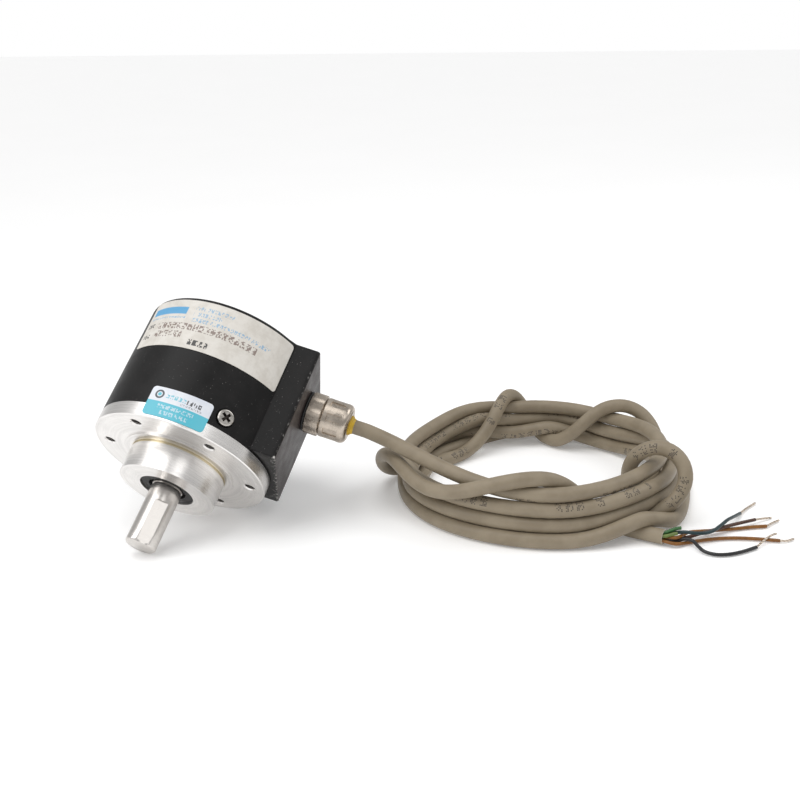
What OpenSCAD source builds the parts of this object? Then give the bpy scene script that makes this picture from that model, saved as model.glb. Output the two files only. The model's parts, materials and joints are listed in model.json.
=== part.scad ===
// Shaft encoder with a 58 mm flange, a side cable gland and a coiled cable.
// Every encoder module is drawn in the encoder's own frame: z runs along the shaft towards its
// tip with z = 0 on the mounting face, x runs along the gland and y is square to the block's top.
// posed() then leans the encoder on its flange rim and its shaft tip, with +Z up from the table.

/* [Flange] */
// Diameter of the flange and of the cover
flange_d = 58; // [54:0.5:70]
// Thickness of the visible flange rim
flange_t = 4.6; // [3.5:0.1:7]
// Chamfer on the rim's front edge
flange_chamfer = 0.3; // [0.1:0.1:0.6]
// Diameter of the low boss on the mounting face
boss_d = 36.5; // [34:0.5:42]
// Height of the low boss
boss_h = 0.5; // [0.2:0.1:1]
// Diameter of the centring pilot
pilot_d = 31.75; // [28:0.25:36]
// Height of the pilot above the mounting face
pilot_h = 10; // [9:0.5:14]
// Depth of the relief groove round the pilot's foot
relief_depth = 0.6; // [0.3:0.1:0.8]
// Pitch circle of the mounting holes
bolt_circle_d = 48; // [44:0.5:50]
// Number of mounting holes
bolt_count = 6; // [3:1:6]
// Diameter of a mounting hole
bolt_hole_d = 3.3; // [2.5:0.1:4]
// Depth of a mounting hole
bolt_hole_depth = 6.5; // [4:0.5:6.5]

/* [Cover] */
// Distance from the mounting face to the cover's rear face
body_len = 45; // [44:0.5:60]
// Thickness of the cover's wall
cover_wall = 2; // [1.5:0.1:2.5]
// Radius of the cover's rear edge
cover_fillet = 1.5; // [0.5:0.1:2]
// Length of the flange step that carries the cover
step_len = 9.4; // [9:0.1:10]
// Width of the block that carries the gland
block_w = 35.2; // [28:0.2:40]
// Distance from the shaft's axis to the block's outer face
block_reach = 31.2; // [30:0.1:36]
// Distance from the cover's front edge to the block's front face
block_setback = 0.5; // [0.3:0.1:3]
// Radius of the block's long edges
block_edge_r = 1; // [0.5:0.1:2]
// Distance from the mounting face to the row of cover screws
screw_back = 8.9; // [8.9:0.1:9.2]
// Thread diameter of the cover screws
screw_d = 3; // [2.5:0.1:3]
// Head diameter of the cover screws
screw_head_d = 5.4; // [5:0.1:5.8]

/* [Shaft] */
// Diameter of the shaft
shaft_d = 10; // [8:0.5:11]
// Distance from the mounting face to the shaft's tip
shaft_reach = 30; // [24:0.5:40]
// Chamfer on the shaft's tip
shaft_chamfer = 0.5; // [0.3:0.1:0.8]
// Depth of the flat on the shaft
flat_depth = 0.5; // [0.3:0.1:1]
// Length of the flat, back from the tip
flat_len = 14.7; // [8:0.1:18]
// Direction of the flat round the shaft, in degrees from the gland
flat_angle = 73; // [0:1:359]

/* [Bearings] */
// Outside diameter of both bearings
bearing_d = 22; // [21:0.5:24]
// Width of each bearing
bearing_w = 6; // [5:0.5:6]
// Ball diameter
ball_d = 3.175; // [2.5:0.025:3.2]
// Number of balls in each bearing
ball_count = 9; // [7:1:10]
// Height of the pilot's lip in front of the front bearing
lip_h = 3; // [2.6:0.1:4]
// Distance between the two bearings
bearing_gap = 16; // [12:0.5:16]

/* [Sensor] */
// Diameter of the code disc
disc_d = 34; // [30:0.5:35]
// Thickness of the code disc
disc_t = 0.8; // [0.6:0.1:1]
// Thickness of the sensor board
board_t = 1.6; // [1:0.1:2]
// Distance from the mounting face to the sensor board's front face
board_back = 36; // [36:0.1:37]
// Pitch circle of the board's standoffs
standoff_circle_d = 43; // [42:0.5:44]

/* [Gland] */
// Distance from the mounting face to the gland's axis
gland_back = 31.9; // [30:0.1:33]
// Diameter of the gland's fluted collar
gland_collar_d = 13.9; // [12:0.1:16]
// Length of the fluted collar
gland_collar_len = 4.9; // [3:0.1:6]
// Diameter of the gland's cap nut
gland_nut_d = 13.2; // [12.8:0.1:16]
// Length of the cap nut
gland_nut_len = 9.1; // [8.8:0.1:12]
// Diameter of the gland's thread
gland_thread_d = 10; // [9.8:0.1:11]

/* [Cable] */
// Outside diameter of the cable
cable_d = 4.8; // [4.4:0.1:4.9]
// Diameter of the coil at the middle of its turns
coil_d = 90; // [86:1:94]
// Radial thickness of the coil
coil_wall = 13; // [11:0.5:14]
// Height of the coil
coil_h = 22; // [20:0.5:23]
// Diameter of one insulated core
core_d = 1.1; // [0.9:0.1:1.1]

/* [Pose] */
// Turn of the encoder about its shaft, which lowers the gland towards the table
side_roll = 22; // [0:1:30]

/* [Hidden] */
$fn = 96;
cut = 0.1;               // how far a cutting tool runs past the face that it opens
fit = 0.05;              // radial clearance of a sliding fit

// Radii of what is given above as a diameter
flange_r = flange_d / 2;
pilot_r = pilot_d / 2;
shaft_r = shaft_d / 2;
bearing_r = bearing_d / 2;
disc_r = disc_d / 2;
cable_r = cable_d / 2;
inner_r = flange_r - cover_wall;

// The lean: the flange rim and the shaft tip touch the table
nose_tilt = atan((flange_r - shaft_r) / (shaft_reach - shaft_chamfer + flange_chamfer));
rest_h = flange_r * cos(nose_tilt) - flange_chamfer * sin(nose_tilt);

// Flange, behind the rim
step_r = inner_r - fit;
step_back = flange_t + step_len;
housing_r = bearing_r + 5;
seal_ring_z = -step_back + 2.2;
o_ring_d = 1.4;
relief_w = 0.8;
relief_z = boss_h + 0.2;
thrower_w = 0.7;

// Bearings: the front one seats on the pilot's lip, the rear one behind the shaft's collar
front_z = pilot_h - lip_h - bearing_w;
rear_z = front_z - bearing_gap - bearing_w;
housing_back = -rear_z + 3;
ring_t = 1.9;
collar_r = shaft_r + 1.3;
race_r = (shaft_r + bearing_r) / 2;
ball_r = ball_d / 2;
race_clear = 0.03;
shield_t = 0.3;
washer_t = 0.8;
clip_t = 0.8;

// Screw heads
head_seat_r = flange_r - 0.6;
head_h = 1.6;
screw_r = screw_d / 2;
screw_len = 8;
screw_angles = [61.2, 181.2, 301.2];

// Disc stack on the shaft's rear end
stub_r = shaft_r - 1;
stub_z = -housing_back;
hub_z = -housing_back - 5.5;
hub_r = stub_r + 5;
hub_h = 4.5;
disc_z = hub_z - disc_t;
clamp_h = 1.2;
clamp_z = disc_z - clamp_h;
shaft_back = clamp_z - 1.5;

// Sensor board and what it carries
board_z = -board_back - board_t;
board_r = inner_r - 1.5;
board_flat_x = 21.5;
track_r = disc_r - 3.5;
standoff_r = 2.5;
standoff_angles = [30, 150, 270];
detector_h = 3.6;
reticle_t = 0.8;
led_gap = 0.9;
led_h = 1.6;
arm_t = 2.4;
arm_w = 8;

// Gland, along x
o_ring_w = 0.9;
collar_x = block_reach + o_ring_w;
nut_x = collar_x + gland_collar_len + 0.3;
nut_end_x = nut_x + gland_nut_len;
seal_end_x = nut_end_x + 1.5;
neck_r = gland_thread_d / 2 - fit;
nut_mouth_r = cable_r + 0.95;
gland_inner_x = inner_r - 1;
flute_count = 24;
notch_count = 8;

// Label and sticker on the round of the cover
label_t = 0.12;
label_gap = 0.08;
label_start = asin(block_w / 2 / flange_r) + 1.2;
label_sweep = 108;
label_front = 25.6;
label_len = 17.8;
sticker_start = 70;
sticker_sweep = 39.5;
sticker_front = 0.9;
sticker_len = 9.9;

// Coil on the table
coil_at = [94, 74];

// A point of the encoder's frame as it lies on the table
function rolled(p) = [p.x * cos(side_roll) + p.y * sin(side_roll),
                      -p.z,
                      -p.x * sin(side_roll) + p.y * cos(side_roll)];
function leaned(q) = [q.x,
                      q.y * cos(nose_tilt) - q.z * sin(nose_tilt),
                      q.y * sin(nose_tilt) + q.z * cos(nose_tilt)];
function posed_point(p) = leaned(rolled(p));

// Route of the cable: inside the gland, then down to the coil
lead_points = [
    posed_point([gland_inner_x - 1, 0, -gland_back]),
    posed_point([(gland_inner_x + seal_end_x) / 2, 0, -gland_back]),
    posed_point([seal_end_x, 0, -gland_back]),
    [49.7, 37.4, 4.4], [55.2, 37.9, 2.9], [62.3, 36.9, 1.3], [69.7, 35.2, -0.6],
    [77.2, 33.6, -2.4], [83.5, 33, -3.7]];
// Route of the cable's free end, out from under the coil
tail_points = [[128, 48.5, -20], [136, 47.5, -20], [145, 46.5, -20]];

// Routes of the cores that come out of the cable's cut end
green_routes = [
    [[143, 46.8, -18.7], [145, 46.6, -18.7], [146.5, 47.5, -18.2], [148, 48.4, -17.6],
        [149.5, 49.3, -17.4]],
    [[143, 45.6, -19.3], [145, 45.4, -19.3], [146.3, 45.9, -19.1], [147.7, 46.7, -18.7],
        [149, 47.2, -18.4]]];
brown_route = [[143, 47.9, -20.7], [145, 47.6, -20.7], [148.3, 49.7, -21.4], [151.5, 52, -21.2],
    [154.7, 55, -20.7], [157.9, 58.6, -20.5], [161.2, 62.7, -20.4], [164.4, 67.3, -20.7],
    [167.7, 72, -21.1]];
orange_routes = [
    [[143, 46.7, -20], [145, 46.5, -20], [148.9, 47.2, -19.8], [151, 52.9, -20.2],
        [154.1, 56.3, -20.7], [157.3, 59.5, -21.3], [160.7, 62.6, -21.7], [164.3, 65.3, -21.8],
        [167.9, 67.8, -21.8], [171.6, 70, -21.8]],
    [[143, 45.6, -20.8], [145, 45.4, -20.8], [148.9, 45.5, -21.2], [151.8, 49, -21.8],
        [154.9, 51.8, -21.8], [158.3, 54.4, -21.8], [161.8, 56.5, -21.8], [165.5, 58.1, -21.8],
        [169.4, 59.3, -21.8], [173.3, 60.2, -21.8], [177.2, 60.9, -21.8]]];
dark_route = [[143, 47.9, -19.4], [145, 47.7, -19.4], [147.4, 48.8, -19.2], [150.6, 49.1, -18.5],
    [153.6, 49.6, -18.5], [156.4, 51.3, -18.8], [158.3, 54.5, -19], [159.6, 59, -18.9],
    [160.6, 64.5, -19.2], [161.5, 70.5, -20.4], [162.2, 76.4, -21.7]];
black_route = [[143, 46.7, -21.3], [145, 46.5, -21.3], [148, 47.4, -21.6], [150.7, 48.4, -20.5],
    [153.4, 48.2, -20.5], [155.6, 46.3, -21.2], [158, 44.6, -21.7], [161.5, 44.2, -21.8],
    [165, 45.9, -21.8], [168.3, 49.2, -21.8], [171.5, 53.8, -21.8]];
// Each stripped tip runs on from the end of its core
tip_routes = [
    [[167.7, 72, -21.1], [169.9, 75.3, -21.7], [171.8, 77.3, -22]],
    [[171.6, 70, -21.8], [173, 73.7, -21.9], [174.3, 76.3, -22]],
    [[177.2, 60.9, -21.8], [179.1, 61.9, -21.9], [180.7, 64.3, -22]],
    [[162.2, 76.4, -21.7], [163.3, 81.6, -21.9], [165, 87.1, -22]],
    [[171.5, 53.8, -21.8], [173.3, 58.6, -20.9], [174.6, 61.6, -20.7], [175.6, 63.4, -20.8]]];
tip_d = 0.7;

// Leads from the cable to the board's socket
lead_spread = 1.2;
lead_r = 0.5;
socket_x = 19;
socket_h = 3.5;

// A tube of round section swept along a list of points
function unit(v) = v / norm(v);
function heading(p, i) = unit(p[min(i + 1, len(p) - 1)] - p[max(i - 1, 0)]);
function side_of(t) = unit(cross(t, [0, 0, 1]));
function ring_at(p, i, r, n) =
    let (t = heading(p, i), a = side_of(t), b = cross(a, t))
    [for (k = [0:n - 1]) p[i] + r * (cos(360 * k / n) * a + sin(360 * k / n) * b)];
module tube(p, r, sides) {
    rings = [for (i = [0:len(p) - 1]) each ring_at(p, i, r, sides)];
    first_cap = [[for (k = [0:sides - 1]) sides - 1 - k]];
    last = (len(p) - 1) * sides;
    last_cap = [[for (k = [0:sides - 1]) last + k]];
    walls = [for (i = [0:len(p) - 2]) for (k = [0:sides - 1])
        [i * sides + k, i * sides + (k + 1) % sides,
         (i + 1) * sides + (k + 1) % sides, (i + 1) * sides + k]];
    polyhedron(points = rings, faces = concat(first_cap, walls, last_cap), convexity = 4);
}

module posed() {
    rotate([nose_tilt, 0, 0]) rotate([0, side_roll, 0]) rotate([90, 0, 0]) children();
}
module along_gland(x = 0) {
    translate([x, 0, -gland_back]) rotate([0, 90, 0]) children();
}
module ring(outer, inner, h) {
    difference() {
        cylinder(r = outer, h = h);
        translate([0, 0, -cut]) cylinder(r = inner, h = h + 2 * cut);
    }
}

// Flange with its pilot, its bearing housing and the step that carries the cover
module flange() {
    posed() color("gainsboro") difference() {
        union() {
            translate([0, 0, -flange_t]) cylinder(r = flange_r, h = flange_t - flange_chamfer);
            translate([0, 0, -flange_chamfer])
                cylinder(r1 = flange_r, r2 = flange_r - flange_chamfer, h = flange_chamfer);
            cylinder(r = boss_d / 2, h = boss_h);
            cylinder(r = pilot_r, h = pilot_h);
            translate([0, 0, -step_back]) cylinder(r = step_r, h = step_len);
            translate([0, 0, -housing_back]) cylinder(r = housing_r, h = housing_back - flange_t);
        }
        translate([0, 0, relief_z]) ring(pilot_r + 1, pilot_r - relief_depth, relief_w);
        translate([0, 0, -housing_back - cut])
            cylinder(r = bearing_r, h = housing_back + pilot_h - lip_h + cut);
        translate([0, 0, -cut]) cylinder(r = bearing_r - 2, h = pilot_h + 2 * cut);
        translate([0, 0, rear_z - washer_t - clip_t - 0.05])
            cylinder(r = bearing_r + 0.8, h = clip_t + 0.1);
        translate([0, 0, seal_ring_z - o_ring_d / 2]) ring(step_r + 1, step_r - 1.45, o_ring_d + 0.2);
        for (i = [0:bolt_count - 1]) rotate(360 / bolt_count * i) translate([bolt_circle_d / 2, 0, 0]) {
            translate([0, 0, -bolt_hole_depth]) cylinder(d = bolt_hole_d, h = bolt_hole_depth + cut);
            translate([0, 0, -0.4]) cylinder(d1 = bolt_hole_d, d2 = bolt_hole_d + 1, h = 0.5);
        }
        for (a = screw_angles) rotate(a) translate([step_r - 8, 0, -screw_back]) rotate([0, 90, 0])
            cylinder(r = screw_r, h = 8 + cut);
        for (a = standoff_angles) rotate(a) translate([standoff_circle_d / 2, 0, -step_back - cut])
            cylinder(r = 1, h = 3);
    }
}

// Cover: a cup with the gland's block on its side
module cover() {
    posed() color([0.13, 0.13, 0.13]) difference() {
        union() {
            translate([0, 0, -flange_t]) mirror([0, 0, 1]) rotate_extrude() cup_outline();
            translate([0, 0, -body_len]) linear_extrude(body_len - flange_t - block_setback)
                block_outline();
        }
        translate([0, 0, -body_len + cover_wall])
            cylinder(r = inner_r, h = body_len - cover_wall - flange_t + cut);
        along_gland(gland_inner_x - 3) cylinder(d = gland_thread_d, h = block_reach);
        for (a = screw_angles) rotate(a) translate([0, 0, -screw_back]) rotate([0, 90, 0]) {
            translate([0, 0, inner_r - 1]) cylinder(r = screw_r + 0.1, h = cover_wall + 2);
            translate([0, 0, head_seat_r]) cylinder(d = screw_head_d + 0.4, h = 3);
        }
    }
}
// Half section of the cup's outside, from the front edge to the rounded rear edge
module cup_outline() {
    cup_len = body_len - flange_t;
    square([flange_r, cup_len - cover_fillet]);
    square([flange_r - cover_fillet, cup_len]);
    translate([flange_r - cover_fillet, cup_len - cover_fillet]) circle(cover_fillet);
}
// Section of the block, with rounded outer corners
module block_outline() {
    foot_x = inner_r * 0.6;
    translate([foot_x, -block_w / 2]) square([block_reach - block_edge_r - foot_x, block_w]);
    translate([foot_x, block_edge_r - block_w / 2])
        square([block_reach - foot_x, block_w - 2 * block_edge_r]);
    for (s = [-1, 1]) translate([block_reach - block_edge_r, s * (block_w / 2 - block_edge_r)])
        circle(block_edge_r);
}

// Pan-head screws with a cross recess, round the cover's front
module cover_screws() {
    posed() color("silver") for (a = screw_angles)
        rotate(a) translate([0, 0, -screw_back]) rotate([0, 90, 0]) difference() {
            union() {
                translate([0, 0, head_seat_r - screw_len]) cylinder(r = screw_r - fit, h = screw_len);
                translate([0, 0, head_seat_r]) rotate_extrude() pan_outline();
            }
            for (q = [0, 90]) rotate(q) translate([-1.5, -0.35, head_seat_r + head_h - 0.9])
                cube([3, 0.7, 1]);
        }
}
module pan_outline() {
    head_r = screw_head_d / 2;
    square([head_r - 0.6, head_h]);
    square([head_r, head_h - 0.6]);
    translate([head_r - 0.6, head_h - 0.6]) circle(0.6);
}

module cover_o_ring() {
    posed() color([0.1, 0.1, 0.1]) translate([0, 0, seal_ring_z + 0.1]) rotate_extrude()
        translate([inner_r - o_ring_d / 2 - 0.02, 0]) circle(o_ring_d / 2 - 0.03);
}

// Shaft with its collar, its rear stub and the flat near the tip
module shaft() {
    posed() color("silver") difference() {
        union() {
            translate([0, 0, stub_z]) cylinder(r = shaft_r, h = shaft_reach - shaft_chamfer - stub_z);
            translate([0, 0, shaft_reach - shaft_chamfer])
                cylinder(r1 = shaft_r, r2 = shaft_r - shaft_chamfer, h = shaft_chamfer);
            translate([0, 0, front_z - bearing_gap]) cylinder(r = collar_r, h = bearing_gap);
            translate([0, 0, shaft_back]) cylinder(r = stub_r, h = stub_z - shaft_back + cut);
        }
        translate([0, 0, pilot_h - thrower_w]) ring(shaft_r + 1, shaft_r - 0.3, thrower_w + 0.1);
        rotate(flat_angle) translate([shaft_r - flat_depth, -shaft_r, shaft_reach - flat_len])
            cube([shaft_d, shaft_d, flat_len + cut]);
    }
}

// Rubber lip seal in the pilot's mouth
module shaft_seal() {
    posed() color([0.12, 0.12, 0.12]) translate([0, 0, pilot_h - lip_h + 0.3]) rotate_extrude() {
        translate([shaft_r + 1.2, 0]) square([bearing_r - 2 - fit - shaft_r - 1.2, lip_h - 0.9]);
        translate([shaft_r + fit, 0]) square([1.4, 0.7]);
    }
}

// Bearing pieces, drawn with the bearing's rear face at z = 0
module outer_ring() {
    color("silver") rotate_extrude() difference() {
        translate([bearing_r - ring_t, 0]) square([ring_t, bearing_w]);
        translate([race_r, bearing_w / 2]) circle(ball_r + race_clear);
    }
}
module inner_ring() {
    color("silver") rotate_extrude() difference() {
        translate([shaft_r, 0]) square([ring_t, bearing_w]);
        translate([race_r, bearing_w / 2]) circle(ball_r + race_clear);
    }
}
module ball_set() {
    color("khaki") translate([0, 0, bearing_w / 2]) {
        for (i = [0:ball_count - 1]) rotate(360 / ball_count * i) translate([race_r, 0, 0])
            sphere(ball_r - 0.02);
        translate([0, 0, -0.8]) ring(race_r + 0.25, race_r - 0.25, 1.6);
    }
}
module shields() {
    for (z = [0.2, bearing_w - 0.2 - shield_t]) translate([0, 0, z]) color([0.25, 0.25, 0.25])
        ring(bearing_r - ring_t - 0.01, shaft_r + ring_t + 0.1, shield_t);
}
module front_outer_ring() { posed() translate([0, 0, front_z]) outer_ring(); }
module front_inner_ring() { posed() translate([0, 0, front_z]) inner_ring(); }
module front_ball_set() { posed() translate([0, 0, front_z]) ball_set(); }
module front_shields() { posed() translate([0, 0, front_z]) shields(); }
module rear_outer_ring() { posed() translate([0, 0, rear_z]) outer_ring(); }
module rear_inner_ring() { posed() translate([0, 0, rear_z]) inner_ring(); }
module rear_ball_set() { posed() translate([0, 0, rear_z]) ball_set(); }
module rear_shields() { posed() translate([0, 0, rear_z]) shields(); }
module preload_washer() {
    posed() color("gray") translate([0, 0, rear_z - washer_t])
        ring(bearing_r - 0.1, bearing_r - ring_t + 0.2, washer_t);
}
module housing_circlip() {
    posed() color("dimgray") translate([0, 0, rear_z - washer_t - clip_t])
        ring(bearing_r + 0.7, bearing_r - 1.4, clip_t);
}

// Hub, glass disc and clamp on the shaft's stub
module disc_hub() {
    posed() color("lightsteelblue") translate([0, 0, hub_z]) difference() {
        ring(hub_r, stub_r, hub_h);
        translate([0, 0, hub_h / 2]) rotate([0, 90, 0]) cylinder(r = 1 + fit, h = hub_r + cut);
    }
}
module hub_set_screw() {
    posed() color("dimgray") translate([stub_r + fit, 0, hub_z + hub_h / 2]) rotate([0, 90, 0])
        cylinder(r = 1, h = hub_r - stub_r - 0.5);
}
module code_disc() {
    posed() color([0.75, 0.85, 0.85]) translate([0, 0, disc_z]) ring(disc_r, stub_r, disc_t);
}
module disc_clamp() {
    posed() color("silver") translate([0, 0, clamp_z]) ring(stub_r + 3.5, stub_r, clamp_h);
}

// Light source on an arm that reaches over the disc
module led_bracket() {
    arm_z = hub_z + led_gap + led_h;
    posed() color([0.2, 0.2, 0.22]) {
        translate([-arm_w / 2, disc_r + 1.2, -board_back]) cube([arm_w, 3, arm_z + arm_t + board_back]);
        translate([-arm_w / 2, track_r - 3, arm_z]) cube([arm_w, disc_r - track_r + 4.5, arm_t]);
    }
}
module led() {
    posed() color("ivory") translate([0, track_r, hub_z + led_gap]) cylinder(r = 2.2, h = led_h);
}
module reticle() {
    posed() color([0.7, 0.85, 0.85]) translate([-3.5, track_r - 3.5, detector_h - board_back])
        cube([7, 7, reticle_t]);
}
module photodetector() {
    posed() color([0.15, 0.15, 0.15]) translate([-4, track_r - 4, -board_back]) cube([8, 8, detector_h]);
}

// Board on three standoffs behind the disc
module sensor_board() {
    posed() color("darkgreen") translate([0, 0, board_z]) difference() {
        intersection() {
            cylinder(r = board_r, h = board_t);
            translate([-board_r, -board_r, 0]) cube([board_r + board_flat_x, 2 * board_r, board_t]);
        }
        for (a = standoff_angles) rotate(a) translate([standoff_circle_d / 2, 0, -cut])
            cylinder(r = 1.35, h = board_t + 2 * cut);
    }
}
module board_standoffs() {
    posed() color("goldenrod") for (a = standoff_angles)
        rotate(a) translate([standoff_circle_d / 2, 0, -board_back])
            ring(standoff_r, 1.25, board_back - step_back);
}
module board_screws() {
    posed() color("silver") for (a = standoff_angles)
        rotate(a) translate([standoff_circle_d / 2, 0, board_z]) {
            cylinder(r = 1.2, h = 8);
            translate([0, 0, -1.6]) cylinder(r = 2.2, h = 1.6);
        }
}
module driver_chip() {
    posed() color([0.1, 0.1, 0.1]) translate([-5, -12, board_z - 1.5]) cube([10, 6, 1.5]);
}
module board_capacitors() {
    posed() color("dimgray") for (y = [0, 7]) translate([-8, y, board_z - 3.8])
        cylinder(r = 2, h = 3.8);
}
module board_socket() {
    posed() color("ivory") translate([socket_x - 6, -4, board_z - socket_h]) cube([6, 8, socket_h]);
}
module inner_leads() {
    mid = board_z - socket_h / 2;
    color("firebrick") for (s = [-1, 0, 1])
        tube([for (p = [[gland_inner_x - 1, s * lead_spread, -gland_back], [24, s * lead_spread, -33.5],
                        [23, s * lead_spread, -36], [22.3, s * lead_spread, mid + 0.8],
                        [21, s * lead_spread, mid], [socket_x, s * lead_spread, mid]])
              posed_point(p)], lead_r, 8);
}

// Cable gland on the block
module gland_o_ring() {
    posed() color([0.1, 0.1, 0.1]) along_gland(block_reach)
        ring(gland_collar_d / 2 - 0.5, gland_thread_d / 2, o_ring_w);
}
module gland_body() {
    posed() color("tan") along_gland() difference() {
        union() {
            translate([0, 0, collar_x]) linear_extrude(gland_collar_len) flutes();
            translate([0, 0, gland_inner_x]) cylinder(r = neck_r, h = nut_end_x - 3 - gland_inner_x);
        }
        translate([0, 0, gland_inner_x - cut]) cylinder(r = cable_r + 0.1, h = nut_end_x);
    }
}
// Collar section: a polygon whose radius rises and falls once for each flute
module flutes() {
    steps = 2 * flute_count;
    polygon([for (k = [0:steps - 1])
        let (r = gland_collar_d / 2 - (k % 2) * 0.35)
        [r * cos(360 * k / steps), r * sin(360 * k / steps)]]);
}
module gland_clamp_ring() {
    posed() color([0.15, 0.15, 0.15]) along_gland(nut_end_x - 3) ring(neck_r - 0.1, cable_r + 0.05, 1.9);
}
module gland_seal() {
    posed() color("gold") along_gland(nut_end_x - 1) ring(nut_mouth_r - 0.05, cable_r + 0.05, 2.5);
}
// Cap nut with a domed end and wrench notches
module gland_nut() {
    nut_r = gland_nut_d / 2;
    dome = 2;
    posed() color("tan") along_gland(nut_x) difference() {
        rotate_extrude() {
            square([nut_r, gland_nut_len - dome]);
            square([nut_r - dome, gland_nut_len]);
            translate([nut_r - dome, gland_nut_len - dome]) circle(dome);
        }
        translate([0, 0, -cut]) cylinder(r = neck_r + fit, h = gland_nut_len - 1 + cut);
        translate([0, 0, gland_nut_len - 2]) cylinder(r = nut_mouth_r, h = 3);
        for (i = [0:notch_count - 1]) rotate(360 / notch_count * (i + 0.5))
            translate([nut_r - 0.7, -1.1, 1.6]) cube([2, 2.2, gland_nut_len - 3.2]);
    }
}

// Rating label and seal sticker, laid round the cover
module wrapped(start, sweep, front, length, lift) {
    rotate_extrude(angle = sweep, start = start)
        translate([flange_r + lift, -front - length]) square([label_t, length]);
}
module name_label() {
    posed() color("linen") wrapped(label_start, label_sweep, label_front, label_len, label_gap);
}
module seal_sticker() {
    posed() color("lightskyblue")
        wrapped(sticker_start, sticker_sweep, sticker_front, sticker_len, label_gap);
}

// Cable: lead, coil and free end with its cores
module cable_lead() { color([0.65, 0.6, 0.5]) tube(lead_points, cable_r, 12); }
module cable_coil() {
    color([0.65, 0.6, 0.5]) translate([coil_at.x, coil_at.y, -rest_h])
        ring((coil_d + coil_wall) / 2, (coil_d - coil_wall) / 2, coil_h);
}
module cable_tail() { color([0.65, 0.6, 0.5]) tube(tail_points, cable_r, 12); }
module green_cores() { color("seagreen") for (p = green_routes) tube(p, core_d / 2, 8); }
module brown_core() { color("saddlebrown") tube(brown_route, core_d / 2, 8); }
module orange_cores() { color("chocolate") for (p = orange_routes) tube(p, core_d / 2, 8); }
module dark_core() { color("darkslategray") tube(dark_route, core_d / 2, 8); }
module black_core() { color([0.1, 0.1, 0.1]) tube(black_route, core_d / 2, 8); }
module bare_tips() { color("silver") for (p = tip_routes) tube(p, tip_d / 2, 8); }

flange();
cover();
cover_screws();
cover_o_ring();
shaft();
shaft_seal();
front_outer_ring();
front_inner_ring();
front_ball_set();
front_shields();
rear_outer_ring();
rear_inner_ring();
rear_ball_set();
rear_shields();
preload_washer();
housing_circlip();
disc_hub();
hub_set_screw();
code_disc();
disc_clamp();
led_bracket();
led();
reticle();
photodetector();
sensor_board();
board_standoffs();
board_screws();
driver_chip();
board_capacitors();
board_socket();
inner_leads();
gland_o_ring();
gland_body();
gland_clamp_ring();
gland_seal();
gland_nut();
name_label();
seal_sticker();
cable_lead();
cable_coil();
cable_tail();
green_cores();
brown_core();
orange_cores();
dark_core();
black_core();
bare_tips();
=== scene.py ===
# %% [markdown]
# # A shaft encoder, dressed piece by piece
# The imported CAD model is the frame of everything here: its sizes, its places and its
# joints. This lesson adds the surfaces that show, as numpy grids, and gives every piece a
# procedural finish.

# %% Load the frame
import json

import bmesh
import bpy
import numpy as np
from mathutils import Matrix, Vector


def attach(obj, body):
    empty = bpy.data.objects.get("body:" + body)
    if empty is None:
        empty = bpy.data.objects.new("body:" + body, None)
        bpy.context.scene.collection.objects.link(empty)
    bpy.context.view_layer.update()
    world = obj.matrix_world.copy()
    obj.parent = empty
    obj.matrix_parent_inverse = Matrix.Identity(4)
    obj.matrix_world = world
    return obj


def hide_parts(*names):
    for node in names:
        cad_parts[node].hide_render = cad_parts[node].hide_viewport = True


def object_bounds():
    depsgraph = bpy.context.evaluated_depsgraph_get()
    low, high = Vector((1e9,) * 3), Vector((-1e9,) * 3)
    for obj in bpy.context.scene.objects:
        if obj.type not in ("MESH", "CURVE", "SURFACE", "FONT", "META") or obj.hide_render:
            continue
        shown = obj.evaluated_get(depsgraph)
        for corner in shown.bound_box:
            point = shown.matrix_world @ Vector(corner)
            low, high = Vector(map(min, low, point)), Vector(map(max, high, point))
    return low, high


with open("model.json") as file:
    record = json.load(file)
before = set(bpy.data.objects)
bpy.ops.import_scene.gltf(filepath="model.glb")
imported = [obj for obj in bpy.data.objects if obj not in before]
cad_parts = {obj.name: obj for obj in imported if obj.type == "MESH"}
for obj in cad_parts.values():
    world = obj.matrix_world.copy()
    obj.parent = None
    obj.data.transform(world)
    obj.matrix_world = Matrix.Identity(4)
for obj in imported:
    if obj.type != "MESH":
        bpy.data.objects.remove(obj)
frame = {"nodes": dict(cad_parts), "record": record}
cad_box = [list(map(float, corner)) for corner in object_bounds()]
record = frame["record"]
MM = 0.001
TABLE = cad_box[0][2]

# %% [markdown]
# ## The encoder's own frame
# The encoder leans on its flange and its shaft, so the world's axes suit none of its
# faces. Each shape is easier to state with z along the shaft and x along the gland. The
# record's mounts give both directions: the bolt circle's axis is z, and the boss's mount
# lies along x, on top of a boss half a millimetre high.

# %% The encoder's axes in the world
BOSS_H = 0.5
MOUNTS = {m["name"]: m for m in record["mounts"]}
shaft_axis = np.array(MOUNTS["bolt_circle"]["axis"], float)
gland_axis = np.array(MOUNTS["boss_face"]["pos_m"], float) - BOSS_H * MM * shaft_axis
gland_axis = gland_axis / np.linalg.norm(gland_axis)
AXES = np.column_stack([gland_axis, np.cross(shaft_axis, gland_axis), shaft_axis])
print("gland along", gland_axis.round(3), "shaft along", shaft_axis.round(3))


def placed(points):
    """Points in the encoder's frame, in mm, as world points in metres."""
    return (np.asarray(points, float) * MM) @ AXES.T


# %% [markdown]
# ## Camera
# A product shot from the right and a little above. The lens is a normal one, so the near
# shaft looks larger than the far cable. The camera is set from the point where it stands
# and three angles: how far it has turned, how high it stands and how much it leans.

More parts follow.
